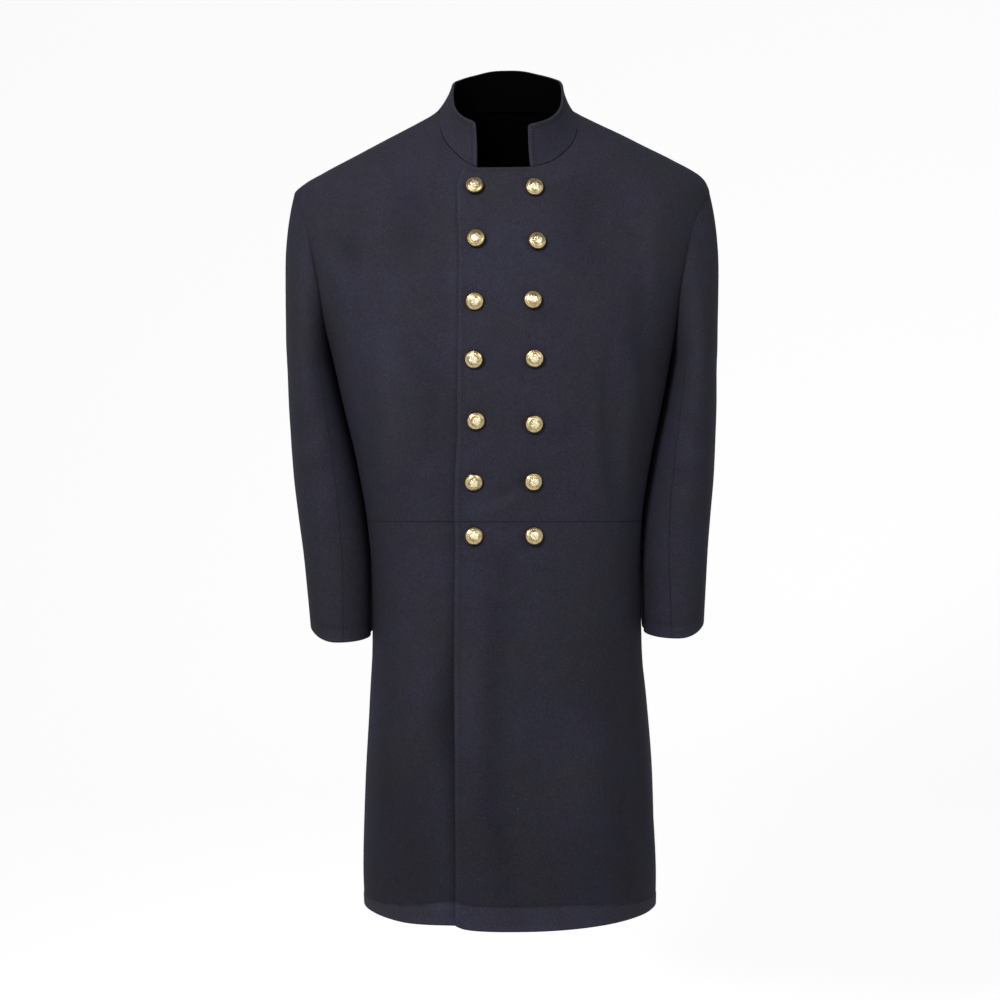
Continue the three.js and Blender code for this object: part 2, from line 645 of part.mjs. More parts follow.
function capPoint(turn, t, side) {
  const from = armholePoint(turn, side);
  const to = armPoint(turn, CAP_FOOT, side);
  const top = (1 + Math.cos(rad(turn))) / 2;
  const aside = side * (CAP.side + CAP.topSide * top);
  const out = new THREE.Vector3(aside, -CAP.forward * Math.sin(rad(turn)), -1);
  const reach = from.distanceTo(to);
  out.normalize().multiplyScalar(CAP.start * reach * 3);
  const down = new THREE.Vector3(0, 0, -CAP.end * reach);
  const t2 = t * t;
  const t3 = t2 * t;
  return from
    .multiplyScalar(2 * t3 - 3 * t2 + 1)
    .addScaledVector(out, t3 - 2 * t2 + t)
    .addScaledVector(to, 3 * t2 - 2 * t3)
    .addScaledVector(down, t3 - t2);
}
// The whole length as one number: 0 at the armhole, 1 at the cap's foot, 2 at the cuff.
function sleevePoint(turn, along, side) {
  if (along < 1) return capPoint(turn, Math.max(0, along), side);
  return armPoint(turn, mix(CAP_FOOT, CUFF_Z, Math.min(2, along) - 1), side);
}
const TURN_STEP = 4;
const ALONG_STEP = 0.02;
function sleeveInside(turn, along, side) {
  const point = sleevePoint(turn, along, side);
  const round = sleevePoint(turn + TURN_STEP, along, side).sub(sleevePoint(turn - TURN_STEP, along, side));
  const down = sleevePoint(turn, along + ALONG_STEP, side).sub(sleevePoint(turn, along - ALONG_STEP, side));
  const inwards = down.cross(round).multiplyScalar(side).normalize();
  return point.addScaledVector(inwards, SLEEVE_WALL);
}
// Both halves of the sleeve meet at a seam down the front and one down the back.
function sleevePart(side, fromSeam, toSeam, cols) {
  const alongs = [
    ...steps(CAP_RINGS, (t) => t ** 1.3).slice(0, -1),
    ...steps(ARM_RINGS, (t) => 1 + t),
  ];
  const grid = (make) =>
    alongs
      .map((along) => {
        const share = along < 1 ? along * 0.4 : 0.4 + 0.6 * (along - 1);
        const first = mix(fromSeam.armhole, fromSeam.cuff, share) + fromSeam.gap;
        const last = mix(toSeam.armhole, toSeam.cuff, share) - toSeam.gap;
        return steps(cols, (t) => make(mix(first, last, t), along, side));
      })
      .reverse();
  return wallOf(grid(sleevePoint), grid(sleeveInside), side > 0);
}
const SEAM_TURN = 0.14;
const TOP_SLEEVE_COLS = 12;
const UNDER_SLEEVE_COLS = 8;
const turned = (seam, turns) => ({ armhole: seam.armhole + turns, cuff: seam.cuff + turns, gap: SEAM_TURN });
const topSleeve = (side) =>
  sleevePart(side, turned(BACK_ARM_SEAM, -360), turned(FRONT_ARM_SEAM, 0), TOP_SLEEVE_COLS);
const underSleeve = (side) =>
  sleevePart(side, turned(FRONT_ARM_SEAM, 0), turned(BACK_ARM_SEAM, 0), UNDER_SLEEVE_COLS);

// A domed brass button on its shank, standing on the cloth.
function buttonShape() {
  const { radius, dome, rim, shank, shankRadius, segments } = BUTTON;
  const crown = steps(3, (t) => {
    const angle = (t * Math.PI) / 2;
    return new THREE.Vector2(radius * 0.96 * Math.cos(angle), shank + rim + dome * Math.sin(angle));
  });
  crown[3].x = 0;
  const profile = [
    new THREE.Vector2(0, 0),
    new THREE.Vector2(shankRadius, 0),
    new THREE.Vector2(shankRadius, shank),
    new THREE.Vector2(radius, shank),
    new THREE.Vector2(radius, shank + rim * 0.6),
    ...crown,
  ];
  return new THREE.LatheGeometry(profile, segments);
}
function addButton(name, x, z) {
  const arc = arcAtX(x - lean(z), z);
  const normal = surfaceNormal(arc, z, 1);
  const mesh = piece(name, buttonShape(), BRASS);
  mesh.position.copy(surface(arc, z, 1)).addScaledVector(normal, GAP);
  mesh.quaternion.setFromUnitVectors(new THREE.Vector3(0, 1, 0), normal);
}

for (const [hand, side] of [["left", 1], ["right", -1]]) {
  piece("front_" + hand, forepart(side), WOOL);
  piece("side_body_" + hand, sideBody(side), WOOL);
  piece("back_" + hand, back(side), WOOL);
  piece("skirt_" + hand, skirt(side), WOOL);
  piece("top_sleeve_" + hand, topSleeve(side), WOOL);
  piece("under_sleeve_" + hand, underSleeve(side), WOOL);
}
piece("collar", collar(), WOOL);
piece("collar_lining", collarLining(), LINING);
piece("back_lining", backLining(), LINING);
BUTTON_ROWS.forEach(({ z, edgeX, farX, farDrop }, i) => {
  addButton("button_edge_" + (i + 1), edgeX, z);
  addButton("button_far_" + (i + 1), farX, z - farDrop);
});

export default coat;
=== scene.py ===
# %% [markdown]
# # A naval officer's frock coat
#
# The real object is a knee-length coat of dark milled wool: two foreparts that lap at the front, two
# side bodies, two long backs, a flared skirt sewn on at the waist, two-piece sleeves and a stand collar.
# It is shown filled out as if worn, with nobody in it, so every piece is a curved wall of cloth round air.
#
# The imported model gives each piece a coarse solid. This lesson draws the same pieces again from the same
# sizes, finely enough for rounded edges, seams, soft creases and stitches, and finishes them in wool,
# lining, thread and brass. All sizes are in millimetres and are turned into metres as a mesh is made.

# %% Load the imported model
import math

import bpy
import numpy as np
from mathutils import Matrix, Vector


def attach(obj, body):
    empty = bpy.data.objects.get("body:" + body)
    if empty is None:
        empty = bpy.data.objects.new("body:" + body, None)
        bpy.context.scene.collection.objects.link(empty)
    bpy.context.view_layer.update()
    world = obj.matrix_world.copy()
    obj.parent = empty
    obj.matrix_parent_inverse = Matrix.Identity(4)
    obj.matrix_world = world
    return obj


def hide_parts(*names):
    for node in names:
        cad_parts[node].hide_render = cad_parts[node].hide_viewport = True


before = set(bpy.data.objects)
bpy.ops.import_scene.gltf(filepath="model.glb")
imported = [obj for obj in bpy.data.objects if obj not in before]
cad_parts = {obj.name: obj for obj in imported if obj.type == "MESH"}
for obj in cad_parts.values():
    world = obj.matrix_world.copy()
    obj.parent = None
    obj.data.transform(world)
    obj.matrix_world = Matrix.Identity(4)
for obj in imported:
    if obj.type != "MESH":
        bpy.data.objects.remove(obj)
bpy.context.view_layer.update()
MM = 0.001
print("nodes in the packed model:", len(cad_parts))

# %% [markdown]
# ## The shape of the body
#
# A tailor thinks of a coat as measures taken at heights: neck, shoulder, chest, waist, hips and hem.
# Each row below is one such level section: its half width, its depth in front of and behind the side
# line, how square it is (2 is an ellipse) and how far its middle leans sideways. A smooth curve runs
# through each column. Sculpting would also give a body like this, but a table keeps it exact, so that
# each panel can be laid on it and meets its neighbour along one shared line.

# %% Named sizes of the coat
WALL = 3.0
SLEEVE_WALL = 2.6
LINING_WALL = 1.0
LAYER = WALL + 1.2
SEAM_GAP = 0.1
HANDS = {1: "left", -1: "right"}

NECK_FRONT = -73.0
WAIST = -498.0
HEM = -973.0
ARMHOLE = {"top": -88, "bottom": -290, "middle": 4, "front": 64, "back": 66}
ARMHOLE_Z = (ARMHOLE["top"] + ARMHOLE["bottom"]) / 2
ARMHOLE_HALF = (ARMHOLE["top"] - ARMHOLE["bottom"]) / 2

SECTION_COLUMNS = ("z", "width", "front", "back", "square", "lean")
SECTIONS = [
    (34, 72, 40, 74, 2, 0),
    (23, 76, 42, 79, 2, 0),
    (15, 82.8, 44, 83, 2, 0),
    (8, 93, 47, 88, 2, 1.6),
    (-3, 113.6, 54, 93, 2, 2.8),
    (-18, 144, 62, 99, 2, 4.5),
    (-33, 172.7, 73, 104, 2, 5.3),
    (-50, 205.5, 85, 109, 2, 6.5),
    (-66, 234.5, 95, 113, 2.02, 6),
    (-78, 250.5, 102, 116, 2.05, 1.2),
    (-92, 259.5, 108, 119, 2.08, -4),
    (-140, 254, 123, 128, 2.2, -7),
    (-180, 245, 132, 133, 2.3, -7.2),
    (-230, 230, 139, 134, 2.35, -6.6),
    (-290, 212, 143, 130, 2.4, -4.2),
    (-347, 200, 142, 123, 2.35, -3),
    (-420, 184, 137, 113, 2.3, -1.9),
    (-498, 171.2, 132, 105, 2.25, -0.6),
    (-560, 167.2, 134, 113, 2.2, 1.1),
    (-647, 168.2, 141, 131, 2.15, 2.9),
    (-722, 173.6, 149, 147, 2.12, 4.1),
    (-822, 180, 160, 166, 2.08, 5.1),
    (-922, 182.7, 170, 181, 2, 6.3),
    (-973, 181.2, 176, 188, 2.02, 6.6),
]
NECK_COLUMNS = ("angle", "z")
NECK_SEAM = [
    (0, -73), (6, -72), (11.4, -66), (19, -50), (27.4, -33), (35.7, -18),
    (50, -3), (64, 8), (90, 15), (120, 22), (150, 29), (180, 32),
]


# %% A smooth curve through one column of a table
def hermite(start, leaving, end, arriving, t):
    """A cubic from start to end, with the slopes it leaves and arrives with."""
    return (
        (2 * t**3 - 3 * t**2 + 1) * start
        + (t**3 - 2 * t**2 + t) * leaving
        + (3 * t**2 - 2 * t**3) * end
        + (t**3 - t**2) * arriving
    )


def column(rows, columns, at, key):
    """A curve through a table's column that never overshoots its rows."""
    at, key = columns.index(at), columns.index(key)
    rows = sorted(rows, key=lambda row: row[at])
    x = np.array([row[at] for row in rows], float)
    y = np.array([row[key] for row in rows], float)
    slope = np.diff(y) / np.diff(x)
    before = np.r_[slope[:1], slope]
    after = np.r_[slope, slope[-1:]]
    both = before * after
    tangent = np.where(both > 0, 2 * both / np.where(both > 0, before + after, 1), 0)

    def value(v):
        t = np.clip(v, x[0], x[-1])
        i = np.clip(np.searchsorted(x, t, side="right") - 1, 0, len(x) - 2)
        h = x[i + 1] - x[i]
        return hermite(y[i], h * tangent[i], y[i + 1], h * tangent[i + 1], (t - x[i]) / h)

    return value


half_width, front_depth, back_depth, squareness, lean = (
    column(SECTIONS, SECTION_COLUMNS, "z", key) for key in SECTION_COLUMNS[1:]
)
neck_height = column(NECK_SEAM, NECK_COLUMNS, "angle", "z")
print("half width at the waist:", round(float(half_width(WAIST)), 1), "mm")

# %% [markdown]
# ## Places on the cloth
#
# A place on the body is given as a tailor would mark it: how far round the cloth from the middle of the
# front, and at what height. Every level section is therefore measured along its own length once, and
# stored at even steps, so that thousands of places can be looked up together. The direction straight out
# of the cloth comes from small steps round and up.

# %% Level sections, measured along the cloth
LEVELS = np.arange(HEM - 3, 36, 1.0)
FRACTIONS = np.linspace(0, 1, 401)
ANGLES = 721
LAST = 0.999999


def level_sections():
    angle = np.linspace(0, np.pi, ANGLES)
    xs, ys, arcs = [], [], []
    for z in LEVELS:
        power = 2 / squareness(z)
        depth = np.where(np.cos(angle) >= 0, front_depth(z), back_depth(z))
        x = half_width(z) * np.abs(np.sin(angle)) ** power
        y = -depth * np.sign(np.cos(angle)) * np.abs(np.cos(angle)) ** power
        arc = np.r_[0, np.cumsum(np.hypot(np.diff(x), np.diff(y)))]
        xs.append(np.interp(FRACTIONS * arc[-1], arc, x))
        ys.append(np.interp(FRACTIONS * arc[-1], arc, y))
        arcs.append(arc)
    return np.array(xs), np.array(ys), np.array(arcs)


RING_X, RING_Y, RING_ARC = level_sections()
RING_HALF = RING_ARC[:, -1]
print("girth at the waist:", round(2 * float(np.interp(WAIST, LEVELS, RING_HALF))), "mm")


# %% From a place on the cloth to a point in space
def mix(a, b, t):
    return a + (b - a) * t


def ease(x, low, high):
    t = np.clip((x - low) / (high - low), 0, 1)
    return t * t * (3 - 2 * t)


def bell(x, width):
    """1 at x = 0, fading softly to both sides."""
    return np.exp(-((x / width) ** 2))


def half_girth(z):
    return np.interp(z, LEVELS, RING_HALF)


def at_level(z):
    """The stored level just below a height, and how far the height is above it."""
    level = np.clip(z - LEVELS[0], 0, len(LEVELS) - 1.001)
    return level.astype(int), level - level.astype(int)


def bilinear(grid, i, f, j, g):
    low = mix(grid[i, j], grid[i, j + 1], g)
    high = mix(grid[i + 1, j], grid[i + 1, j + 1], g)
    return mix(low, high, f)


def surface(arc, z, side):
    """Points of the coat's outer surface. side is 1 for the wearer's left and -1 for the right."""
    arc, z = np.broadcast_arrays(np.asarray(arc, float), np.asarray(z, float))
    i, f = at_level(z)
    half = mix(RING_HALF[i], RING_HALF[i + 1], f)
    along = np.abs(arc)
    turn = np.where(arc < 0, -1.0, 1.0)
    past = along > half
    along = np.where(past, 2 * half - along, along)
    turn = np.where(past, -turn, turn)
    place = np.clip(along / half, 0, LAST) * (len(FRACTIONS) - 1)
    j = place.astype(int)
    g = place - j
    x = bilinear(RING_X, i, f, j, g)
    y = bilinear(RING_Y, i, f, j, g)
    return np.stack([lean(z) + side * turn * x, y, z], -1)


STEP = 1.5


def unit(v):
    return v / (np.linalg.norm(v, axis=-1, keepdims=True) + 1e-12)


def outwards(arc, z, side):
    around = surface(arc + STEP, z, side) - surface(arc - STEP, z, side)
    up = surface(arc, z + STEP, side) - surface(arc, z - STEP, side)
    return unit(np.cross(around, up) * side)


def arc_at_angle(angle, z):
    """The distance along a level section to an angle, in degrees, for one place or many."""
    angle, z = np.broadcast_arrays(np.asarray(angle, float), np.asarray(z, float))
    i, f = at_level(z)
    place = np.clip(angle / 180, 0, LAST) * (ANGLES - 1)
    return bilinear(RING_ARC, i, f, place.astype(int), place - place.astype(int))


def arc_at_x(x, z):
    """The distance along a level section to a sideways place on the front of the coat."""
    i = int(round(z - LEVELS[0]))
    front = RING_X[i][: len(FRACTIONS) // 3]
    return math.copysign(np.interp(abs(x), front, FRACTIONS[: len(front)] * RING_HALF[i]), x)


# %% [markdown]
# ## Seam lines
#
# Two pieces of cloth that are sewn together share one line. Each seam is written once here, as a function
# from 0 to 1 along it, and is used by the piece on either side. The armhole is an egg seen from the side
# and laid on the body; the shoulder seam runs from the neck to its top.


# %% Lines joined end to end
def line(make, count=160):
    """A line of places (arc, z), stored finely and read back anywhere from 0 to 1."""
    t = np.linspace(0, 1, count)
    arc, z = make(t)
    arc, z = np.broadcast_arrays(np.asarray(arc, float), np.asarray(z, float))
    return lambda u: (np.interp(u, t, arc), np.interp(u, t, z))


def joined(*parts):
    """Lines end to end. Each part is (share of the whole, line)."""
    total = sum(share for share, _ in parts)
    starts = np.cumsum([0] + [share / total for share, _ in parts])

    def place(u):
        u = np.asarray(u, float)
        arc, z = np.zeros_like(u), np.zeros_like(u)
        for k, (_, part) in enumerate(parts):
            inside = (u >= starts[k]) if k else np.ones_like(u, bool)
            local = np.clip((u - starts[k]) / (starts[k + 1] - starts[k]), 0, 1)
            a, h = part(local)
            arc, z = np.where(inside, a, arc), np.where(inside, h, z)
        return arc, z

    return place


def level_line(start, end, z):
    """A line along one level, between two distances round the cloth."""

    def place(u):
        u = np.asarray(u, float)
        return mix(start, end, u), np.full_like(u, z)

    return place


def backwards(part):
    return lambda u: part(1 - np.asarray(u))


def moved(part, arc=0.0, z=0.0):
    def place(u):
        a, h = part(u)
        return a + arc, h + z

    return place


def from_back(part):
    """The same line counted from the middle of the back, or back again."""

    def place(u):
        a, h = part(u)
        return half_girth(h) - a, h

    return place


# %% The seams of the body
SHOULDER_ANGLE = 99
SIDE_SEAM = {"on_armhole": 192, "waist_angle": 98}
BACK_SEAM = {"on_armhole": 262, "waist": 50, "bend_arc": 78, "bend_z": -310}
SHOULDER_ON_ARMHOLE = 348
FOOT_END_ANGLE = {1: 6.0, -1: 9.5}
NECK_BUNCH = 1.25


def armhole_place(turn):
    """Turn 0 is the armhole's top, 90 its front and 180 its bottom, in degrees."""
    t = np.radians(turn)
    z = ARMHOLE_Z + ARMHOLE_HALF * np.cos(t)
    reach = np.where(np.sin(t) > 0, ARMHOLE["front"], ARMHOLE["back"])
    y = ARMHOLE["middle"] - reach * np.sin(t)
    depth = np.where(y < 0, front_depth(z), back_depth(z))
    away = np.degrees(np.arccos(np.clip(np.abs(y) / depth, 0, 1) ** (squareness(z) / 2)))
    return np.where(y < 0, away, 180 - away), z


def on_armhole(start, end):
    def make(t):
        angle, z = armhole_place(mix(start, end, t))
        return arc_at_angle(angle, z), z

    return line(make)


def straight(from_angle, from_z, to_angle, to_z):
    """A seam that turns and climbs evenly between two places, each an angle in degrees and a height."""

    def make(t):
        z = mix(from_z, to_z, t)
        return arc_at_angle(mix(from_angle, to_angle, t), z), z

    return line(make)


def bend(start, middle, end, t):
    return (1 - t) ** 2 * start + 2 * t * (1 - t) * middle + t**2 * end


side_top = [float(v) for v in armhole_place(SIDE_SEAM["on_armhole"])]
side_seam = straight(SIDE_SEAM["waist_angle"], WAIST, *side_top)
front_armhole = on_armhole(SIDE_SEAM["on_armhole"], SHOULDER_ON_ARMHOLE - 360)
under_armhole = on_armhole(SIDE_SEAM["on_armhole"], BACK_SEAM["on_armhole"])
back_armhole = from_back(on_armhole(BACK_SEAM["on_armhole"], SHOULDER_ON_ARMHOLE))
back_top_arc, back_top_z = (float(v) for v in back_armhole(0.0))
back_seam = line(
    lambda t: (
        bend(BACK_SEAM["waist"], BACK_SEAM["bend_arc"], back_top_arc, t),
        bend(WAIST, BACK_SEAM["bend_z"], back_top_z, t),
    )
)
shoulder_end = [float(v) for v in armhole_place(SHOULDER_ON_ARMHOLE)]
shoulder_seam = straight(SHOULDER_ANGLE, float(neck_height(SHOULDER_ANGLE)), *shoulder_end)


def on_neck(start, end, bunch=1.0):
    def make(t):
        angle = mix(start, end, t**bunch)
        return arc_at_angle(angle, neck_height(angle)), neck_height(angle)

    return line(make)


neck_front = {side: on_neck(FOOT_END_ANGLE[side], SHOULDER_ANGLE, NECK_BUNCH) for side in HANDS}
neck_back = on_neck(SHOULDER_ANGLE, 180)
print("shoulder seam ends at height", round(shoulder_end[1]), "mm")

# %% [markdown]
# ## Filling a panel between its seams
#
# A panel has four edges. Its inside is blended from them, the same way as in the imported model, so that the
# fine panel and the coarse solid have one shape. The rows and columns stand close together near an edge,
# where the cloth rolls over, and beside a row of stitches, where it is pinched; elsewhere they are about
# 5 mm apart. A subdivision surface would also round the panel, but it would pull the seams apart.

# %% The blend and the spacing
FADE = 2.5
GATHER = 1.5
EDGE_MARKS = (0, 0.3, 0.8, 1.6, 3.0)
PITCH = 5.0


def gather(u, power):
    return 1 - (1 - u) ** power


def blend_patch(bottom, top, left, right, us, vs, power=1.0):
    """Places (arc, z) of a panel's inside, one row for each of vs and one column for each of us."""
    s, t = np.meshgrid(us, vs)
    steps = np.linspace(0, 1, 400)
    v = np.array([np.interp(vs, mix(gather(steps, power), steps, u), steps) for u in us]).T
    g = gather(v, power)
    grids = []
    for key in (0, 1):
        left_bend = left(v)[key] - mix(left(0.0)[key], left(1.0)[key], g)
        right_bend = right(v)[key] - mix(right(0.0)[key], right(1.0)[key], v)
        across = mix(bottom(s)[key], top(s)[key], t)
        grids.append(across + (1 - s) * left_bend + s**FADE * right_bend)
    return grids


def spread(length, first=(), last=(), pitch=PITCH):
    """Even places from 0 to 1 along a length, closer at both ends and at marks given in mm from them."""
    first = np.unique(np.r_[EDGE_MARKS, first])
    last = np.unique(np.r_[EDGE_MARKS, last])
    count = max(2, int(round((length - first[-1] - last[-1]) / pitch)) + 1)
    middle = np.linspace(first[-1], length - last[-1], count)
    return np.r_[first[:-1], middle, length - last[:-1][::-1]] / length


# %% [markdown]
# ## Turning a panel into cloth
#
# Heavy wool is about 3 mm thick in these seamed panels, and its cut edges are turned in, so they are
# round. The wall has an outer and an inner face a cloth's thickness apart, and both roll over towards the
# edge. Relief, such as creases and the dent that a row of stitches makes, moves the points straight out
# of or into the cloth. A solidify modifier would give the thickness too, but not the turned edge.

# %% From points to a mesh
EDGE_ROLL = 1.3
SEAM_ROLL = 0.35
INNER_ROLL = 0.8
PLAIN_TONE = 0.5


def rolled(distance, radius):
    inside = 1 - np.clip(distance / radius, 0, 1)
    return radius * (1 - np.sqrt(np.clip(1 - inside**2, 0, 1)))


def distances(points):
    """How far each point of a grid is from its left, right, bottom and top edge, along the grid."""
    across = np.linalg.norm(np.diff(points, axis=1), axis=2)
    upward = np.linalg.norm(np.diff(points, axis=0), axis=2)
    left = np.concatenate([np.zeros((len(points), 1)), np.cumsum(across, 1)], 1)
    bottom = np.concatenate([np.zeros((1, points.shape[1])), np.cumsum(upward, 0)], 0)
    return {"left": left, "right": left[:, -1:] - left, "bottom": bottom, "top": bottom[-1:] - bottom}


def nearest_of(far, edges):
    """The distance to the nearest of the named edges."""
    return np.minimum.reduce([far[edge] for edge in edges]) if edges else np.full(far["left"].shape, 1e3)


def edge_roll(far, free):
    """How far the cloth has rolled inwards: more at a turned free edge than in a pressed seam."""
    sewn = [edge for edge in far if edge not in free]
    return np.maximum(rolled(nearest_of(far, free), EDGE_ROLL), rolled(nearest_of(far, sewn), SEAM_ROLL))


def make_mesh(name, vertices, faces, material=None, tone=None):
    """A smooth mesh. tone is stored at each point for the material: less than plain is darker."""
    mesh = bpy.data.meshes.new(name)
    mesh.from_pydata((np.asarray(vertices) * MM).tolist(), [], faces)
    if tone is not None:
        mesh.attributes.new("tone", "FLOAT", "POINT").data.foreach_set("value", np.asarray(tone).ravel())
    for polygon in mesh.polygons:
        polygon.use_smooth = True
    piece = bpy.data.objects.new(name, mesh)
    bpy.context.scene.collection.objects.link(piece)
    if material:
        mesh.materials.append(material)
    return piece


def ring_faces(rings, spokes, start=0):
    """Faces between rings of points that lie one after another from a starting number."""
    faces = []
    for row in range(rings - 1):
        for k in range(spokes):
            a, b = start + row * spokes + k, start + row * spokes + (k + 1) % spokes
            faces.append((a, a + spokes, b + spokes, b))
    return faces


def ring_caps(rings, spokes, start=0):
    """The first and the last ring, closed."""
    last = start + (rings - 1) * spokes
    return [tuple(range(start, start + spokes)), tuple(reversed(range(last, last + spokes)))]


# %% From two faces to a closed wall
def wall_mesh(name, outer, inner, material, flipped=False, tone=None):
    """A closed wall between two grids of points."""
    rows, cols = outer.shape[:2]
    index = np.arange(2 * rows * cols).reshape(2, rows, cols)
    out, back = index

    def quads(a, b, c, d):
        return np.stack([a.ravel(), b.ravel(), c.ravel(), d.ravel()], 1)

    faces = np.concatenate(
        [
            quads(out[:-1, :-1], out[:-1, 1:], out[1:, 1:], out[1:, :-1]),
            quads(back[:-1, :-1], back[1:, :-1], back[1:, 1:], back[:-1, 1:]),
            quads(out[:-1, 0], out[1:, 0], back[1:, 0], back[:-1, 0]),
            quads(out[:-1, -1], back[:-1, -1], back[1:, -1], out[1:, -1]),
            quads(out[0, :-1], back[0, :-1], back[0, 1:], out[0, 1:]),
            quads(out[-1, :-1], out[-1, 1:], back[-1, 1:], back[-1, :-1]),
        ]
    )
    if flipped:
        faces = faces[:, ::-1]
    points = np.concatenate([outer.reshape(-1, 3), inner.reshape(-1, 3)])
    tone = np.full(outer.shape[:2], PLAIN_TONE) if tone is None else tone
    return make_mesh(name, points, faces.tolist(), material, np.stack([tone, tone]))


# %% [markdown]
# ## Where the buttons sit
#
# Fourteen buttons stand in seven rows of two. The buttons near the front edge do the work and the far ones
# are for show, as on any double-breasted coat. None hangs quite straight: each leans by a few degrees on
# its own shank, towards its own side. Their places come before the cloth, because thread pulled through
# heavy wool leaves a shallow dimple under each one.

# %% The rows of buttons
# Each row is (name, x, z, lean in degrees, the direction it leans to, turn of its face).
BUTTONS = [
    ("button_edge_1", -36.6, -98.6, 4, -69, 20),
    ("button_far_1", 34.5, -99.6, 9, 76, 130),
    ("button_edge_2", -34.2, -163, 6, 148, 75),
    ("button_far_2", 36.7, -166.5, 10, -13, 200),
    ("button_edge_3", -36.6, -237.5, 14, 61, 160),
    ("button_far_3", 31.8, -236.5, 4, 0, 40),
    ("button_edge_4", -36.5, -306, 9, 116, 5),
    ("button_far_4", 34.1, -305, 6, 108, 90),
    ("button_edge_5", -35.3, -378, 15, 28, 110),
    ("button_far_5", 33, -381.5, 12, 48, 25),
    ("button_edge_6", -37.7, -449.6, 18, 52, 140),
    ("button_far_6", 31.8, -449.6, 14, 25, 60),
    ("button_edge_7", -37.7, -514.5, 15, -3, 15),
    ("button_far_7", 33, -514.5, 7, -14, 100),
]
PULL = {"depth": 0.75, "half_width": 10.5}


def button_pulls(arc, z, side):
    """The dimple that each button's thread pulls in the cloth of the wearer's left side."""
    lift = np.zeros_like(arc)
    if side < 0:
        return lift
    for _, x, height, *_ in BUTTONS:
        off = np.hypot(arc - arc_at_x(x - float(lean(height)), height), z - height)
        lift -= PULL["depth"] * bell(off, PULL["half_width"])
    return lift


print("buttons:", len(BUTTONS))

# %% [markdown]
# ## Creases placed one by one
#
# The coat is well pressed, so the photograph shows few folds: a faint drag across the chest towards the
# buttons, soft hollows over the waist, long shallow flutes in the skirt and a few bends at the elbows.
# Each row below is one soft trough or ridge, from one place to another, with its own width and depth. The
# rows for the sides and the back, which don't show, are of the same kind.
# Noise would be quicker, but noise does not know where cloth is pulled.

# %% Creases, as (side, from arc and height, to arc and height, half width, depth)
CREASE_BOW = 0.07
BODY_CREASES = [
    (1, 109, -73, 102, -206, 34, -1.7),
    (1, 188, -108, 196, -226, 15, 2.0),
    (1, 131, -282, 143, -480, 7, -1.3),
    (1, 163, -334, 171, -488, 12, 1.7),
    (1, 177, -209, 194, -381, 9, -1.3),
    (1, 113, -354, 119, -472, 11, 1.0),
    (1, -41, -487, 22, -461, 8, 1.6),
    (1, -13, -466, 26, -447, 6, -1.4),
    (1, 150, -250, 205, -320, 19, -1.0),
    (1, 36, -265, 90, -235, 14, -0.7),
    (1, 38, -400, 100, -372, 13, -0.7),
    (1, 20, -330, 52, -290, 11, -0.7),
    (-1, 213, -146, 168, -204, 7, -1.3),
    (-1, 221, -184, 186, -227, 11, 1.5),
    (-1, 113, -85, 118, -187, 25, -1.7),
    (-1, 147, -270, 154, -455, 21, 1.2),
    (-1, 91, -295, 93, -442, 18, -1.4),
    (-1, 180, -115, 208, -225, 17, -0.9),
    (-1, 105, -440, 165, -462, 12, -0.9),
    (-1, 60, -420, 118, -446, 11, 0.8),
    (1, 255, -420, 330, -470, 20, -1.4),
    (1, 300, -380, 390, -410, 22, 1.0),
    (-1, 250, -415, 325, -468, 21, -1.3),
    (-1, 305, -372, 395, -408, 20, 1.1),
    (1, 330, -170, 370, -300, 22, -1.4),
    (-1, 335, -165, 372, -310, 24, -1.4),
    (1, 400, -80, 430, -190, 20, 0.8),
    (-1, 405, -85, 436, -200, 20, 0.8),
]
SKIRT_CREASES = [
    (1, 28, -512, -18, -552, 11, -1.3),
    (1, 6, -505, -34, -528, 8, 1.0),
    (1, -16, -588, 14, -576, 6, 1.1),
    (1, -32, -630, -31, -795, 19, 2.0),
    (1, 8, -531, 6, -968, 16, -2.3),
    (1, 100, -740, 91, -868, 42, 1.8),
    (1, 150, -590, 172, -970, 26, -1.2),
    (1, 196, -560, 222, -968, 18, -1.7),
    (1, 250, -620, 300, -970, 26, -2.4),
    (1, 290, -540, 350, -970, 28, 2.2),
    (1, 330, -600, 395, -970, 24, -1.8),
    (-1, 141, -800, 136, -950, 46, -1.2),
    (-1, 125, -560, 136, -790, 26, 0.9),
    (-1, 185, -600, 205, -970, 22, -1.0),
    (-1, 215, -545, 258, -970, 30, 1.6),
    (-1, 262, -615, 312, -970, 25, -2.3),
    (-1, 300, -540, 360, -970, 28, 2.2),
    (-1, 338, -610, 402, -970, 24, -1.8),
    (1, 470, -560, 500, -960, 22, -1.2),
    (-1, 474, -590, 505, -960, 24, -1.0),
]


def crease(across, up, x0, y0, x1, y1, width, depth):
    """A soft trough or ridge along a line, fading out at both ends."""
    dx, dy = x1 - x0, y1 - y0
    length = math.hypot(dx, dy)
    along = ((across - x0) * dx + (up - y0) * dy) / length**2
    off = ((across - x0) * dy - (up - y0) * dx) / length
    bow = off - CREASE_BOW * length * (1 - (2 * along - 1) ** 2)
    fade = ease(along, -0.25, 0.35) * (1 - ease(along, 0.65, 1.25))
    return depth * fade * bell(bow, width)


def hand_folds(rows, arc, z, side):
    lift = np.zeros_like(arc)
    for row_side, *row in rows:
        if row_side == side:
            lift += crease(arc, z, *row)
    return np.where(lift > 0, lift * (1 - beside_arm(arc, z)), lift)


def beside_arm(arc, z):
    """1 where the sleeve hangs just clear of the body, so that nothing may stand out there."""
    share = arc / half_girth(z)
    return ease(share, 0.3, 0.38) * (1 - ease(share, 0.62, 0.7)) * ease(z, -690, -660)


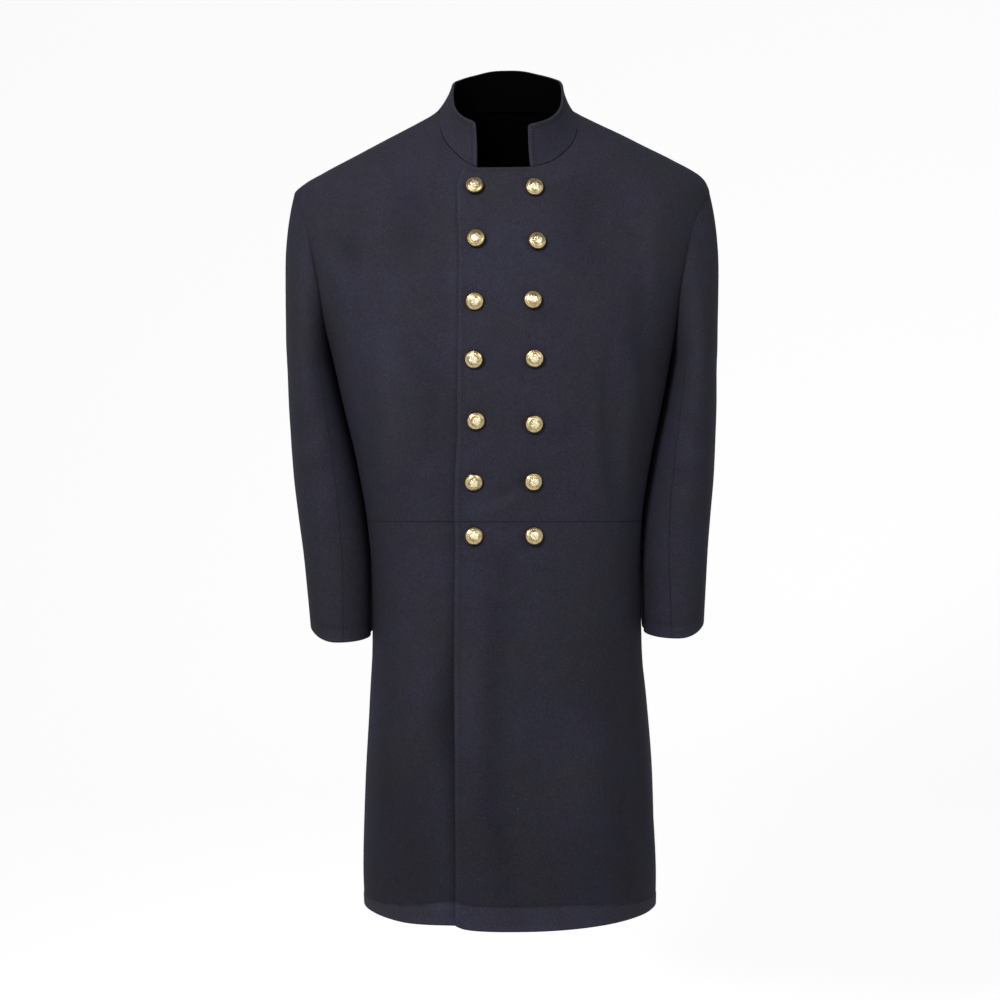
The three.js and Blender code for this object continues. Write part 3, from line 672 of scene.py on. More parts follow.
def off_armhole(arc, z):
    """0 at the armhole's seam and 1 a hand's width away from it."""
    y = surface(arc, z, 1)[..., 1] - ARMHOLE["middle"]
    reach = np.where(y < 0, ARMHOLE["front"], ARMHOLE["back"])
    return ease(np.hypot(y / reach, (z - ARMHOLE_Z) / ARMHOLE_HALF), 1.02, 1.4)


def body_relief(arc, z, side):
    lift = hand_folds(BODY_CREASES, arc, z, side) + button_pulls(arc, z, side)
    return lift * ease(z, WAIST, WAIST + 12) * (1 - ease(z, -60, 0)) * off_armhole(arc, z)


def skirt_relief(arc, z, side):
    lift = hand_folds(SKIRT_CREASES, arc, z, side)
    pulls = button_pulls(arc, z, side) * (1 - ease(z, WAIST - 12, WAIST))
    return lift * (1 - ease(z, WAIST - 60, WAIST - 5)) + pulls


print("creases:", len(BODY_CREASES) + len(SKIRT_CREASES))

# %% [markdown]
# ## Foreparts
#
# The wearer's left forepart laps over the right one by more than a hand's width, which is what makes the
# coat double-breasted. Its edge is turned and stitched about 8 mm in, and so is the straight top edge
# between the collar's ends. The right forepart sinks by one thickness of cloth before it goes under.

# %% Laps, edges and stitch lines
FRONT_EDGE = [
    (-73, 55), (-99, 53.6), (-127, 51), (-184, 48.5), (-241, 50.3), (-326, 54), (-382, 54.8),
    (-439, 58.5), (-480, 60.6), (-520, 60.8), (-600, 63.8), (-683, 65.2), (-824, 65.6), (-973, 66.8),
]
UNDERLAP = 48
front_over = column(FRONT_EDGE, ("z", "over"), "z", "over")
UNDERLAP_SINK = {"full": 63, "none": 98}
UNDER_TOP = 3
TOPSTITCH = 7.8
TOP_EDGE_STITCH = 7.0
STITCH_MARKS = (5.6, 7.0, 7.4, 7.8, 8.2, 8.6, 10.2)
DENT = {"depth": 0.55, "half_width": 0.75}


def front_edge(z, under):
    """The left front's edge swings in at the chest and out again over the hips. The right one is straight."""
    z = np.asarray(z, float)
    return np.full_like(z, -UNDERLAP) if under else -front_over(z)


def under_sink(arc):
    return LAYER * (1 - ease(arc, UNDERLAP_SINK["full"], UNDERLAP_SINK["none"]))


def dent(distance, at):
    return DENT["depth"] * bell(distance - at, DENT["half_width"])


# %% The hem's turned-up band
HEM_BAND = 28.0
HEM_NARROW = {"stretch": 1.9, "from_arc": 60, "to_arc": 230}
HEM_MARKS = (10, 13, 15, 17, 20, 24, 26, 27, 28, 29, 30, 32, 36)
HEM_STITCH = HEM_BAND - 1


def above_band(up, arc):
    """The height over the hem, stretched at the sides, where the band is narrower than in front."""
    return up * mix(1.0, HEM_NARROW["stretch"], ease(arc, HEM_NARROW["from_arc"], HEM_NARROW["to_arc"]))


def hem_ridge(up):
    """The turned-up cloth makes the lowest band a little thicker, with a soft step at its top."""
    step = 0.55 * (1 - ease(up, HEM_BAND - 1.5, HEM_BAND + 1.5))
    return step - 0.25 * bell(up - HEM_BAND - 2, 1.5)


def band_light_and_shade(up):
    """Painted light on the flatter doubled hem band, with a fine painted shade line at its top."""
    band = 0.2 * (1 - ease(up, HEM_BAND - 2.5, HEM_BAND + 1.0))
    return band - 0.05 * bell(up - HEM_BAND - 1.5, 1.2)


# %% A wall of cloth from its places
stitch_paths = {}
# strength of the painted light on crease ridges and painted shade in crease troughs
CREASE_SHADING = 0.05
LAP_COLUMNS = ("z", "tone", "reach")
# painted shadow (below zero) and painted light beside the lap's edge, with how far each reaches, by height
LAP_SHADE_AND_LIGHT = [
    (-973, -0.05, 8), (-930, -0.13, 8), (-850, -0.17, 9), (-790, -0.21, 13), (-740, -0.25, 25),
    (-690, -0.24, 19), (-640, -0.18, 10), (-560, -0.11, 9), (-480, -0.08, 13), (-380, -0.07, 13),
    (-310, 0.0, 9), (-260, 0.05, 10), (-190, 0.05, 10), (-120, 0.0, 8),
]
lap_painted_shade, lap_shade_reach = (column(LAP_SHADE_AND_LIGHT, LAP_COLUMNS, "z", key) for key in LAP_COLUMNS[1:])


def crease_light_and_shade(lift):
    """Painted light on crease ridges and painted shade in crease troughs, by how far they stand out."""
    return np.clip(lift, -2.5, 2.5)


def in_armpit(away, low):
    """Cloth next to the front of the armhole is shaded by the sleeve that hangs over it."""
    return -0.2 * bell(away, 4.5) * low


def painted_lap_shadow(arc, z):
    """Painted shadow, and painted light in places, on the right side beside the left front's edge."""
    away = arc - front_over(z)
    return lap_painted_shade(z) * bell(np.maximum(away, 0), lap_shade_reach(z)) * (away > -25)


def cloth_panel(name, place, side, relief, sink=0.0, flipped=None, band_shading=0.0, free=(), armpit=False):
    """A wall of wool laid on the body at a grid of places, with relief, rolled edges and painted light and
    shade.
    """
    arc, z = place
    base, normal = surface(arc, z, side), outwards(arc, z, side)
    far = distances(base)
    lift, dented = relief(far)
    level = (lift - sink)[..., None]
    outer = base + normal * (level - (edge_roll(far, free) + dented)[..., None])
    inner = base + normal * (level - WALL + rolled(nearest_of(far, far), INNER_ROLL)[..., None])
    tone = painted_edge_shading(far, free, dented) + CREASE_SHADING * crease_light_and_shade(lift)
    tone = tone + band_shading * band_light_and_shade(above_band(far["bottom"], arc))
    if side < 0:
        tone = tone + painted_lap_shadow(arc, z)
    if armpit:
        tone = tone + in_armpit(far["right"], ease(-z, 140, 200))
    flipped = side < 0 if flipped is None else flipped
    piece = wall_mesh(f"{name}_{HANDS[side]}_cloth", outer, inner, wool, flipped, tone)
    return piece, outer, normal, far


def painted_edge_shading(far, free, dented=0.0):
    """Painted shade in seams and stitch dents, and a painted highlight on a turned free edge's ridge."""
    sewn = nearest_of(far, [edge for edge in far if edge not in free])
    turned_edge = nearest_of(far, free)
    # rim is a painted highlight on the turned edge's ridge, with painted shade right at the edge
    rim = 0.07 * bell(turned_edge - 3.2, 1.9) - 0.1 * bell(turned_edge, 0.8)
    return PLAIN_TONE - 0.1 * bell(sewn, 1.0) + rim - 0.12 * dented / DENT["depth"]


def keep_stitches(group, outer, normal, distance, at, along_rows, keep=None):
    """The line on a panel that lies at one distance from one of its edges, kept for sewing later."""
    points, out = [], []
    count = outer.shape[0] if along_rows else outer.shape[1]
    for k in range(count):
        d = distance[k] if along_rows else distance[:, k]
        p = outer[k] if along_rows else outer[:, k]
        n = normal[k] if along_rows else normal[:, k]
        order = np.argsort(d)
        if d.max() < at:
            continue
        points.append([np.interp(at, d[order], p[order, a]) for a in range(3)])
        out.append([np.interp(at, d[order], n[order, a]) for a in range(3)])
    points, out = np.array(points), unit(np.array(out))
    wanted = keep(points) if keep else slice(None)
    stitch_paths.setdefault(group, []).append((points[wanted], out[wanted]))


# %% Materials by name, finished further down
def named_material(name):
    material = bpy.data.materials.new(name)
    material.use_nodes = True
    return material


wool = named_material("navy_wool")
lining = named_material("black_lining")
thread = named_material("navy_thread")
brass = named_material("stamped_brass")


# %% Make the foreparts
FRONT_SIZE = {"width": 330, "height": 425}


def forepart(side):
    under = side < 0
    gap = SEAM_GAP / 2
    top_z = NECK_FRONT - (UNDER_TOP if under else 0)
    edge_arc = float(front_edge(top_z, under))
    neck_arc, neck_z = (float(v) for v in neck_front[side](0.0))
    top_edge = line(lambda t: (mix(edge_arc, neck_arc, t), mix(top_z, neck_z, t**6)))
    top = joined((3, top_edge), (7, neck_front[side]), (6, moved(shoulder_seam, -gap)))
    right = joined((6, moved(side_seam, -gap)), (9, front_armhole))

    def left(u):
        z = mix(WAIST + gap, top_z, gather(np.asarray(u, float), GATHER))
        return front_edge(z, under), z

    bottom = level_line(float(left(0.0)[0]), float(right(0.0)[0]), WAIST + gap)
    marks = () if under else STITCH_MARKS
    us = spread(FRONT_SIZE["width"], first=marks)
    vs = spread(FRONT_SIZE["height"], last=marks)
    arc, z = blend_patch(bottom, top, left, right, us, vs, GATHER)
    creases = body_relief(arc, z, side) * (ease(arc, 40, 95) if under else 1)

    def relief(far):
        if under:
            return creases, 0.0
        beside = dent(far["left"], TOPSTITCH) * ease(far["top"], TOP_EDGE_STITCH - 3, TOP_EDGE_STITCH + 2)
        above = dent(far["top"], TOP_EDGE_STITCH) * ease(neck_arc - arc, -6, 6) * ease(far["left"], 5, 8)
        return creases, np.maximum(beside, above)

    def below_top(points):
        return points[:, 2] < NECK_FRONT - TOP_EDGE_STITCH

    def between_edge_and_neck(points):
        return (points[:, 0] > edge_arc + TOPSTITCH - 2) & (points[:, 0] < neck_arc)

    sink = under_sink(arc) if under else 0.0
    made = cloth_panel("front", (arc, z), side, relief, sink, free=("left",), armpit=True)
    piece, outer, normal, far = made
    if not under:
        keep_stitches("front_edge", outer, normal, far["left"], TOPSTITCH, True, below_top)
        keep_stitches("front_edge", outer, normal, far["top"], TOP_EDGE_STITCH, False, between_edge_and_neck)
    return piece


pieces = {}
for side, hand in HANDS.items():
    pieces["front_" + hand] = forepart(side)
print("forepart faces:", len(pieces["front_left"].data.polygons))

# %% [markdown]
# ## Side bodies and backs
#
# A frock coat has a narrow side body under each arm, and two backs that run in one piece from the neck to
# the hem. Below the waist the backs become the tails: the left one laps over the right at the vent, and
# the skirts' pleated edges tuck under their outer sides. None of this shows in the photograph, so it is
# cut the plain way that such a coat is.

# %% Side bodies
TAIL = {"hem_width": 82, "pleat": 22, "sink_start": 8, "sink_end": 44, "clear": 0.6}
VENT = {"underlap": 20, "sink_top": -500, "sink_full": -532, "open": -540, "wide": -580}
SIDE_SIZE = {"width": 150, "height": 240}
BACK_SIZE = {"width": 210, "upper": 530, "tail": 475}


def side_body(side):
    gap = SEAM_GAP / 2
    left = moved(side_seam, gap)
    right = from_back(moved(back_seam, gap))
    bottom = level_line(float(left(0.0)[0]), float(right(0.0)[0]), WAIST + gap)
    us, vs = spread(SIDE_SIZE["width"]), spread(SIDE_SIZE["height"])
    arc, z = blend_patch(bottom, under_armhole, left, right, us, vs)

    def relief(far):
        return body_relief(arc, z, side), 0.0

    return cloth_panel("side_body", (arc, z), side, relief)[0]


# %% The upper back
def upper_back(inset, middle_arc):
    top = joined((4, from_back(backwards(neck_back))), (6, moved(from_back(shoulder_seam), -inset)))
    right = joined((6, moved(back_seam, -inset)), (6, back_armhole))

    def left(u):
        u = np.asarray(u, float)
        return np.full_like(u, middle_arc), mix(WAIST, float(top(0.0)[1]), u)

    return level_line(middle_arc, float(right(0.0)[0]), WAIST), top, left, right


def tail_edge(z):
    return mix(TAIL["hem_width"], BACK_SEAM["waist"], (z - HEM) / (WAIST - HEM))


# %% A whole back, from neck to hem
CLEAR_OF_MIDDLE = (25, 60)


def whole_back(side):
    under = side < 0
    gap = SEAM_GAP / 2
    us = spread(BACK_SIZE["width"])
    upper_arc, upper_z = blend_patch(*upper_back(gap, gap), us, spread(BACK_SIZE["upper"])[4:])
    heights = mix(HEM, WAIST, spread(BACK_SIZE["tail"], first=HEM_MARKS)[:-4])[:, None]
    opened = ease(-heights, -VENT["open"], -VENT["wide"])
    middle = mix(gap, -VENT["underlap"], opened) if under else mix(gap, -1, opened)
    outer_edge = tail_edge(heights) - gap
    tail_arc = mix(middle, outer_edge, us[None, :])
    tail_z = np.broadcast_to(heights, tail_arc.shape)
    from_middle = np.concatenate([tail_arc[:-1], upper_arc])
    z = np.concatenate([tail_z[:-1], upper_z])
    sink = 0.0
    if under:
        sink = LAYER * (1 - ease(from_middle, 6, 36)) * ease(-z, -VENT["sink_top"], -VENT["sink_full"])
    arc = half_girth(z) - from_middle
    creases = np.where(z > WAIST, body_relief(arc, z, side), skirt_relief(arc, z, side))
    creases = creases * ease(from_middle, *CLEAR_OF_MIDDLE)

    def relief(far):
        return creases + hem_ridge(above_band(far["bottom"], arc)), 0.0

    made = cloth_panel("back", (arc, z), side, relief, sink, side > 0, 1.0, ("bottom",))
    piece, outer, normal, far = made
    keep_stitches("hem", outer, normal, above_band(far["bottom"], arc), HEM_STITCH, False)
    return piece


for side, hand in HANDS.items():
    pieces["side_body_" + hand] = side_body(side)
    pieces["back_" + hand] = whole_back(side)
print("pieces so far:", len(pieces))

# %% [markdown]
# ## Skirts
#
# Each skirt is sewn to the body at the waist and flares to the hem. The left one laps over the right, its
# front corner swings up a few millimetres, and its back edge folds under the tail. Long shallow flutes run
# down from the hips, as they do in heavy wool cut with a flare.

# %% Make the skirts
UNDER_HEM = {"lift": 4.5, "full": 60, "none": 150}
HEM_CORNER = {"lift": 5, "reach": 9}
HEM_SIDES = 0.6
SKIRT_SIZE = {"width": 500, "height": 475}
# how strongly each skirt gets the hem band's painted light and shade
SKIRT_BAND_SHADING = {"over": 1.0, "under": 1.25}


def skirt(side):
    under = side < 0
    us = spread(SKIRT_SIZE["width"], first=() if under else STITCH_MARKS)
    vs = spread(SKIRT_SIZE["height"], first=HEM_MARKS)
    s, t = np.meshgrid(us, vs)
    z = mix(HEM, WAIST - SEAM_GAP / 2, t)
    start = front_edge(z, under)
    end = half_girth(z) - tail_edge(z) + TAIL["pleat"]
    arc = mix(start, end, s)
    if under:
        lift = UNDER_HEM["lift"] * (1 - ease(arc, UNDER_HEM["full"], UNDER_HEM["none"]))
    else:
        lift = HEM_CORNER["lift"] * np.exp((start - arc) / HEM_CORNER["reach"])
    past = half_girth(z) - arc - tail_edge(z)
    sink = (LAYER + TAIL["clear"]) * (1 - ease(past, TAIL["sink_start"], TAIL["sink_end"]))
    if under:
        sink = sink + under_sink(arc)
    creases = skirt_relief(arc, z, side) * ease(past, 0, 30) * (ease(arc, 66, 100) if under else 1)
    z = z + (lift + HEM_SIDES * np.sin(np.pi * s) ** 6) * (1 - t) ** 4

    def relief(far):
        ridge = creases + hem_ridge(above_band(far["bottom"], arc))
        return ridge, 0.0 if under else dent(far["left"], TOPSTITCH)

    band_shading = SKIRT_BAND_SHADING["under" if under else "over"]
    free = ("left", "bottom", "right")
    made = cloth_panel("skirt", (arc, z), side, relief, sink, band_shading=band_shading, free=free)
    piece, outer, normal, far = made
    if not under:
        keep_stitches("front_edge", outer, normal, far["left"], TOPSTITCH, True)
    keep_stitches("hem", outer, normal, above_band(far["bottom"], arc), HEM_STITCH, False)
    return piece


for side, hand in HANDS.items():
    pieces["skirt_" + hand] = skirt(side)
print("skirt faces:", len(pieces["skirt_left"].data.polygons))

# %% [markdown]
# ## Sleeves
#
# A tailored sleeve is a tube of two pieces: a wide top sleeve that shows, and a narrow under sleeve, joined
# down the front and the back of the arm. It starts at the armhole, turns down over the shoulder's end, and
# hangs slightly forwards to the wrist. The tube is measured by turns round the arm and by length along it.

# %% The sleeve's own sizes
SLEEVE_CLEAR = 0.9
SLEEVE_PRESS = {"turn": 208, "none": 0.8, "full": 0.97, "clear": 2.2}
SLEEVE_COLUMNS = ("z", "outer", "middle", "depth")
SLEEVE = [
    (-302, 267.5, 4, 77),
    (-347, 266.9, 3, 75),
    (-397, 264.8, 2, 72),
    (-447, 261.9, 0, 68),
    (-497, 256.9, -3, 63),
    (-547, 251.4, -8, 59),
    (-597, 247, -14, 56),
    (-640, 243.3, -20, 53),
]
CUFF = {"front_drop": 5, "outer_lift": 12, "lift_power": 2.5, "left_shorter": 5}
FRONT_ARM_SEAM = {"armhole": 135, "cuff": 100}
BACK_ARM_SEAM = {"armhole": 268, "cuff": 252}
SEAM_STEP = -0.2
HEAD_STEP = 0.4
CAP = {"start": 1.14, "end": 0.75, "out": 0.05, "out_top": 0.2, "forward": 0.14}
SLEEVE_SIZE = {"cap": 215, "arm": 340, "top": 250, "under": 170, "cap_pitch": 4.5}
CAP_SHARE = 0.4
CAP_FOOT, CUFF_Z = SLEEVE[0][0], SLEEVE[-1][0]
sleeve_outer, sleeve_middle, sleeve_depth = (
    column(SLEEVE, SLEEVE_COLUMNS, "z", key) for key in SLEEVE_COLUMNS[1:]
)


def body_half(y, z):
    """Half the body's width at a place in front of or behind its side line."""
    depth = np.where(y < 0, front_depth(z), back_depth(z))
    part = np.clip(np.abs(y) / depth, 0, 1) ** squareness(z)
    return half_width(z) * (1 - part) ** (1 / squareness(z))


def pressed(turn):
    """1 where a sleeve is pressed on the body, behind the body's widest line, and 0 where it hangs free."""
    return ease(np.cos(np.radians(turn - SLEEVE_PRESS["turn"])), SLEEVE_PRESS["none"], SLEEVE_PRESS["full"])


def arm_points(turn, z, side):
    press = pressed(turn)
    turn = np.radians(turn)
    inner = half_width(z) + SLEEVE_CLEAR
    half = (sleeve_outer(z) - inner) / 2
    y = sleeve_middle(z) - sleeve_depth(z) * np.sin(turn)
    x = mix(inner + half + half * np.cos(turn), body_half(y, z) + SLEEVE_PRESS["clear"], press)
    lift = CUFF["outer_lift"] * np.clip(np.cos(turn), 0, 1) ** CUFF["lift_power"]
    slant = lift - CUFF["front_drop"] * np.sin(turn)
    slope = slant + (CUFF["left_shorter"] if side > 0 else 0)
    return np.stack([lean(z) + side * x, y, z + slope * ease(-z, -CAP_FOOT, -CUFF_Z)], -1)


def armhole_points(turn, side):
    angle, z = armhole_place(turn)
    shape = turn.shape
    arc = arc_at_angle(angle, z)
    point, normal = surface(arc, z, side), outwards(arc, z, side)
    heart = np.stack([point[..., 0], np.full(shape, ARMHOLE["middle"]), np.full(shape, ARMHOLE_Z)], -1)
    into = heart - point
    into = unit(into - normal * np.sum(into * normal, -1, keepdims=True))
    top = np.clip(np.cos(np.radians(turn)), 0, 1)
    return point + normal * SEAM_STEP + into * (SEAM_STEP + HEAD_STEP * top)[..., None]


def sleeve_points(turn, along, side):
    """along is 0 at the armhole, 1 where the tube becomes level, and 2 at the cuff."""
    start = armhole_points(turn, side)
    end = arm_points(turn, np.full(turn.shape, float(CAP_FOOT)), side)
    top = (1 + np.cos(np.radians(turn))) / 2
    sideways = side * (CAP["out"] + CAP["out_top"] * top)
    out = np.stack([sideways, -CAP["forward"] * np.sin(np.radians(turn)), -np.ones(turn.shape)], -1)
    reach = np.linalg.norm(end - start, axis=-1, keepdims=True)
    out = unit(out) * CAP["start"] * reach
    down = np.array([0, 0, -CAP["end"]]) * reach
    t = np.clip(along, 0, 1)[..., None]
    cap = hermite(start, out, end, down, t)
    z = mix(CAP_FOOT, CUFF_Z, np.clip(along, 1, 2) - 1)
    return np.where((along < 1)[..., None], cap, arm_points(turn, z, side))


# %% Creases of the sleeves, as (side, turn and height from and to, half width, depth)
ARM_CREASES = [
    (1, 40, -395, 118, -372, 10, -1.6),
    (1, 30, -420, 112, -405, 11, 1.2),
    (1, 60, -440, 125, -432, 9, -1.3),
    (1, 45, -462, 118, -470, 12, 1.0),
    (1, 20, -190, 70, -285, 17, -1.5),
    (1, -30, -230, 30, -300, 18, 1.0),
    (1, 80, -520, 120, -500, 12, -0.9),
    (-1, 38, -388, 116, -362, 11, -1.5),
    (-1, 28, -415, 110, -398, 12, 1.2),
    (-1, 55, -436, 122, -424, 9, -1.4),
    (-1, 42, -470, 120, -462, 11, 1.0),
    (-1, 22, -185, 72, -280, 18, -1.4),
    (-1, -28, -225, 32, -296, 18, 1.0),
    (-1, 78, -515, 118, -498, 12, -0.8),
    (1, 230, -380, 300, -410, 15, -1.4),
    (-1, 228, -376, 302, -404, 15, -1.4),
    (1, 215, -300, 290, -345, 17, 1.2),
    (-1, 213, -305, 288, -350, 17, 1.2),
]
# strength of the painted light and shade on the sleeves' creases
ARM_CREASE_SHADING = 0.02


def arm_relief(turn, z, side):
    lift = np.zeros_like(turn)
    for row_side, *row in ARM_CREASES:
        if row_side == side:
            for whole in (-360, 0, 360):
                lift += crease(turn + whole, z, *row)
    return lift


def cuff_light_and_shade(up):
    """The cuff is turned up inside: a painted paler band and a faint painted shade line above it."""
    return 0.05 * (1 - ease(up, 15, 18)) - 0.06 * bell(up - 18.5, 1.8)


# %% Make the sleeves
SEAM_TURN = 0.06
TURN_STEP = 3.0
ALONG_STEP = 0.02


def sleeve_part(name, side, from_seam, to_seam, width):
    cap = spread(SLEEVE_SIZE["cap"], pitch=SLEEVE_SIZE["cap_pitch"])[:-5]
    arm = spread(SLEEVE_SIZE["arm"])[5:]
    along = np.r_[cap, 1, 1 + arm][::-1][:, None]
    share = np.where(along < 1, along * CAP_SHARE, CAP_SHARE + (1 - CAP_SHARE) * (along - 1))
    first = mix(from_seam["armhole"], from_seam["cuff"], share) + SEAM_TURN
    last = mix(to_seam["armhole"], to_seam["cuff"], share) - SEAM_TURN
    turn = mix(first, last, spread(width)[None, :])
    along = np.broadcast_to(along, turn.shape)
    base = sleeve_points(turn, along, side)
    around = sleeve_points(turn + TURN_STEP, along, side) - sleeve_points(turn - TURN_STEP, along, side)
    down = sleeve_points(turn, along + ALONG_STEP, side) - sleeve_points(turn, along - ALONG_STEP, side)
    out = -unit(np.cross(down, around) * side)
    far = distances(base)
    lift = arm_relief(turn, base[..., 2], side) * ease(far["top"], 5, 40) * ease(far["bottom"], 10, 60)
    lift = lift * (1 - pressed(turn))
    outer = base + out * (lift - edge_roll(far, ("bottom",)))[..., None]
    inner = base - out * (SLEEVE_WALL - lift - rolled(nearest_of(far, far), INNER_ROLL))[..., None]
    tone = painted_edge_shading(far, ("bottom",)) + cuff_light_and_shade(far["bottom"]) + ARM_CREASE_SHADING * crease_light_and_shade(lift)
    tone = tone + in_armpit(far["top"], ease(turn, 55, 85) * (1 - ease(turn, 150, 190)))
    piece = wall_mesh(name + "_cloth", outer, inner, wool, side > 0, tone)
    return piece


def turned(seam, turns):
    return {key: value + turns for key, value in seam.items()}


for side, hand in HANDS.items():
    top_seams = ("top", turned(BACK_ARM_SEAM, -360), FRONT_ARM_SEAM)
    for name, first, last in (top_seams, ("under", FRONT_ARM_SEAM, BACK_ARM_SEAM)):
        full = f"{name}_sleeve_{hand}"
        pieces[full] = sleeve_part(full, side, first, last, SLEEVE_SIZE[name])
print("sleeve faces:", len(pieces["top_sleeve_left"].data.polygons))

# %% [markdown]
# ## The stand collar
#
# The collar is one band. Its foot follows the neck seam and its top edge is a smaller, tilted oval, so it
# leans in towards the neck. It is hollowed a little between the two, its ends stand open at the front with
# small rounded corners, and a row of stitches runs all round inside its free edges. The turned edge itself
# makes a soft bead that catches the light, and a painted highlight runs along it; the stitch groove and the
# foot's seam get painted shade.

# %% The collar's own sizes
COLLAR = {
    "wall": 2.6,
    "top_end_half": {1: 24.6, -1: 39.0},
    "top_half_width": 69,
    "top_front": -98,
    "top_back": 74,
    "top_lean": 3,
    "top_tilt": 0.01,
    "hollow": 2.2,
    "square": 2.6,
    "height": 62,
    "corner": 5.0,
    "bead": 0.6,
    "stitch": 7.0,
    "lip_highlight": 0.1,
    "groove_shade": 0.2,
    "left_darker": 0.06,
}
COLLAR_TOP = [
    (-98, -22), (-86, -14), (-66, -1), (-45, 13), (-20, 33), (0, 46),
    (20, 55.5), (40, 62.5), (56, 69.2), (67, 75), (74, 81),
]
COLLAR_MARKS = (0.6, 1.2, 2.2, 4.4, 5.4, 6.2, 6.6, 7.0, 7.4, 7.8, 8.6, 9.6)
collar_top_height = column(COLLAR_TOP, ("y", "z"), "y", "z")


# %% The collar's foot and top lines
def even(points):
    """A line through points, read by its share of the whole length."""
    length = np.r_[0, np.cumsum(np.linalg.norm(np.diff(points, axis=0), axis=1))]

    def place(share):
        return np.stack([np.interp(share, length / length[-1], points[:, k]) for k in range(3)], -1)

    return place


def collar_foot(side):
    seam = joined((7, neck_front[side]), (4, neck_back))
    arc, z = seam(np.linspace(0, 1, 900))
    sunk = under_sink(arc) if side < 0 else np.zeros_like(arc)
    return even(surface(arc, z, side) - outwards(arc, z, side) * sunk[:, None])


def collar_head(side):
    open_share = COLLAR["top_end_half"][side] / COLLAR["top_half_width"]
    start = math.asin(open_share ** (COLLAR["square"] / 2))
    angle = np.linspace(start, math.pi, 900)
    power = 2 / COLLAR["square"]
    middle = (COLLAR["top_front"] + COLLAR["top_back"]) / 2
    reach = (COLLAR["top_back"] - COLLAR["top_front"]) / 2
    x = COLLAR["top_half_width"] * np.abs(np.sin(angle)) ** power
    y = middle - reach * np.sign(np.cos(angle)) * np.abs(np.cos(angle)) ** power
    return even(np.stack([x, y, collar_top_height(y)], -1))


def rounded_corner(end, top, radius):
    """Distances from an end and from the top, moved so that the square corner becomes a round one."""
    u, v = 1 - end / radius, 1 - top / radius
    near = (u > 0) & (v > 0)
    round_u = u * np.sqrt(np.clip(1 - v * v / 2, 0, 1))
    round_v = v * np.sqrt(np.clip(1 - u * u / 2, 0, 1))
    return np.where(near, radius * (1 - round_u), end), np.where(near, radius * (1 - round_v), top)


# %% Half a collar as a grid of places
FOOT_LIFT = {"ends": 0.05, "middle": 0.1}


def half_collar(side, shares, heights, length):
    """Points of the outside and the level direction out of it. Rows go up and columns go back."""
    share, height = np.meshgrid(shares, heights)
    end, top = rounded_corner(share * length, (1 - height) * COLLAR["height"], COLLAR["corner"])
    share, height = end / length, 1 - top / COLLAR["height"]
    foot = collar_foot(side)(share)
    foot[..., 2] += FOOT_LIFT["ends"] + FOOT_LIFT["middle"] * np.sin(np.pi * np.minimum(1, 1.6 * share))
    head = collar_head(side)(share)
    head[..., 0] = side * head[..., 0] + COLLAR["top_lean"]
    head[..., 2] += COLLAR["top_tilt"] * head[..., 0] * ease(head[..., 1], -60, 40)
    out = unit(np.stack([foot[..., 0], foot[..., 1] + 12, np.zeros_like(share)], -1))
    hollow = COLLAR["hollow"] * np.sin(np.pi * np.clip(height, 0, 1) ** 0.8)
    return mix(foot, head, height[..., None]) - out * hollow[..., None], out


def whole_collar(shares, heights):
    """Both halves as one band, from the wearer's right end round the back to the left end."""
    halves = [half_collar(side, shares, heights, HALF_COLLAR) for side in (-1, 1)]
    return [np.concatenate([right, left[:, ::-1][:, 1:]], 1) for right, left in zip(*halves)]


HALF_COLLAR = 245.0
COLLAR_PITCH = 4.0


# %% Make the collar
def make_collar():
    shares = np.r_[spread(HALF_COLLAR, first=COLLAR_MARKS, pitch=COLLAR_PITCH)[:-5], 1.0]
    heights = spread(COLLAR["height"], last=COLLAR_MARKS, pitch=COLLAR_PITCH)
    base, out = whole_collar(shares, heights)
    far = distances(base)
    free = nearest_of(far, ("left", "right", "top"))
    nearest = nearest_of(far, far)
    bead = COLLAR["bead"] * bell(free - 2.0, 1.6)
    dented = dent(free, COLLAR["stitch"]) * ease(far["bottom"], 0, 3)
    outer = base + out * (bead - dented - rolled(nearest, EDGE_ROLL))[..., None]
    inner = base - out * (COLLAR["wall"] - rolled(nearest, EDGE_ROLL))[..., None]
    # painted highlight along the collar's turned free edges
    painted_lip_light = COLLAR["lip_highlight"] * (1 - ease(free, 2.4, 4.2))
    # painted shade along the collar's foot seam
    foot = -0.12 * bell(far["bottom"], 1.2)
    # the collar is a little darker towards the wearer's left end
    left_end_darkening = -COLLAR["left_darker"] * (1 - ease(far["right"], 60, 140))
    # the stitch groove gets painted shade
    tone = PLAIN_TONE + painted_lip_light + foot + left_end_darkening - COLLAR["groove_shade"] * dented / DENT["depth"]
    piece = wall_mesh("collar_cloth", outer, inner, wool, True, tone)
    keep_stitches("collar", outer, out, far["top"], COLLAR["stitch"], False)
    for edge in ("left", "right"):
        keep_stitches("collar", outer, out, far[edge], COLLAR["stitch"], True)
    return piece


pieces["collar"] = make_collar()
print("collar faces:", len(pieces["collar"].data.polygons))

# %% [markdown]
# ## Black linings
#
# Only two linings show, both through the open neck: the one inside the collar, and the one inside the
# back. Each is a thin wall that follows the cloth it lines, so no gap shows between them from any side.

# %% Make the linings
LINING_GAP = 0.35
LINING_OVERLAP = 3.2


def collar_lining():
    heights = mix(-0.1, 0.97, spread(COLLAR["height"], pitch=COLLAR_PITCH))
    shares = np.linspace(0.006, 1, 60)
    base, out = whole_collar(shares, heights)
    felled = LINING_OVERLAP * (1 - ease(heights, -0.02, 0.12))[:, None]
    start = (COLLAR["wall"] + LINING_GAP + np.broadcast_to(felled, base.shape[:2]))[..., None]
    outer, inner = base - out * start, base - out * (start + LINING_WALL)
    piece = wall_mesh("collar_lining_cloth", outer, inner, lining, True)
    return piece


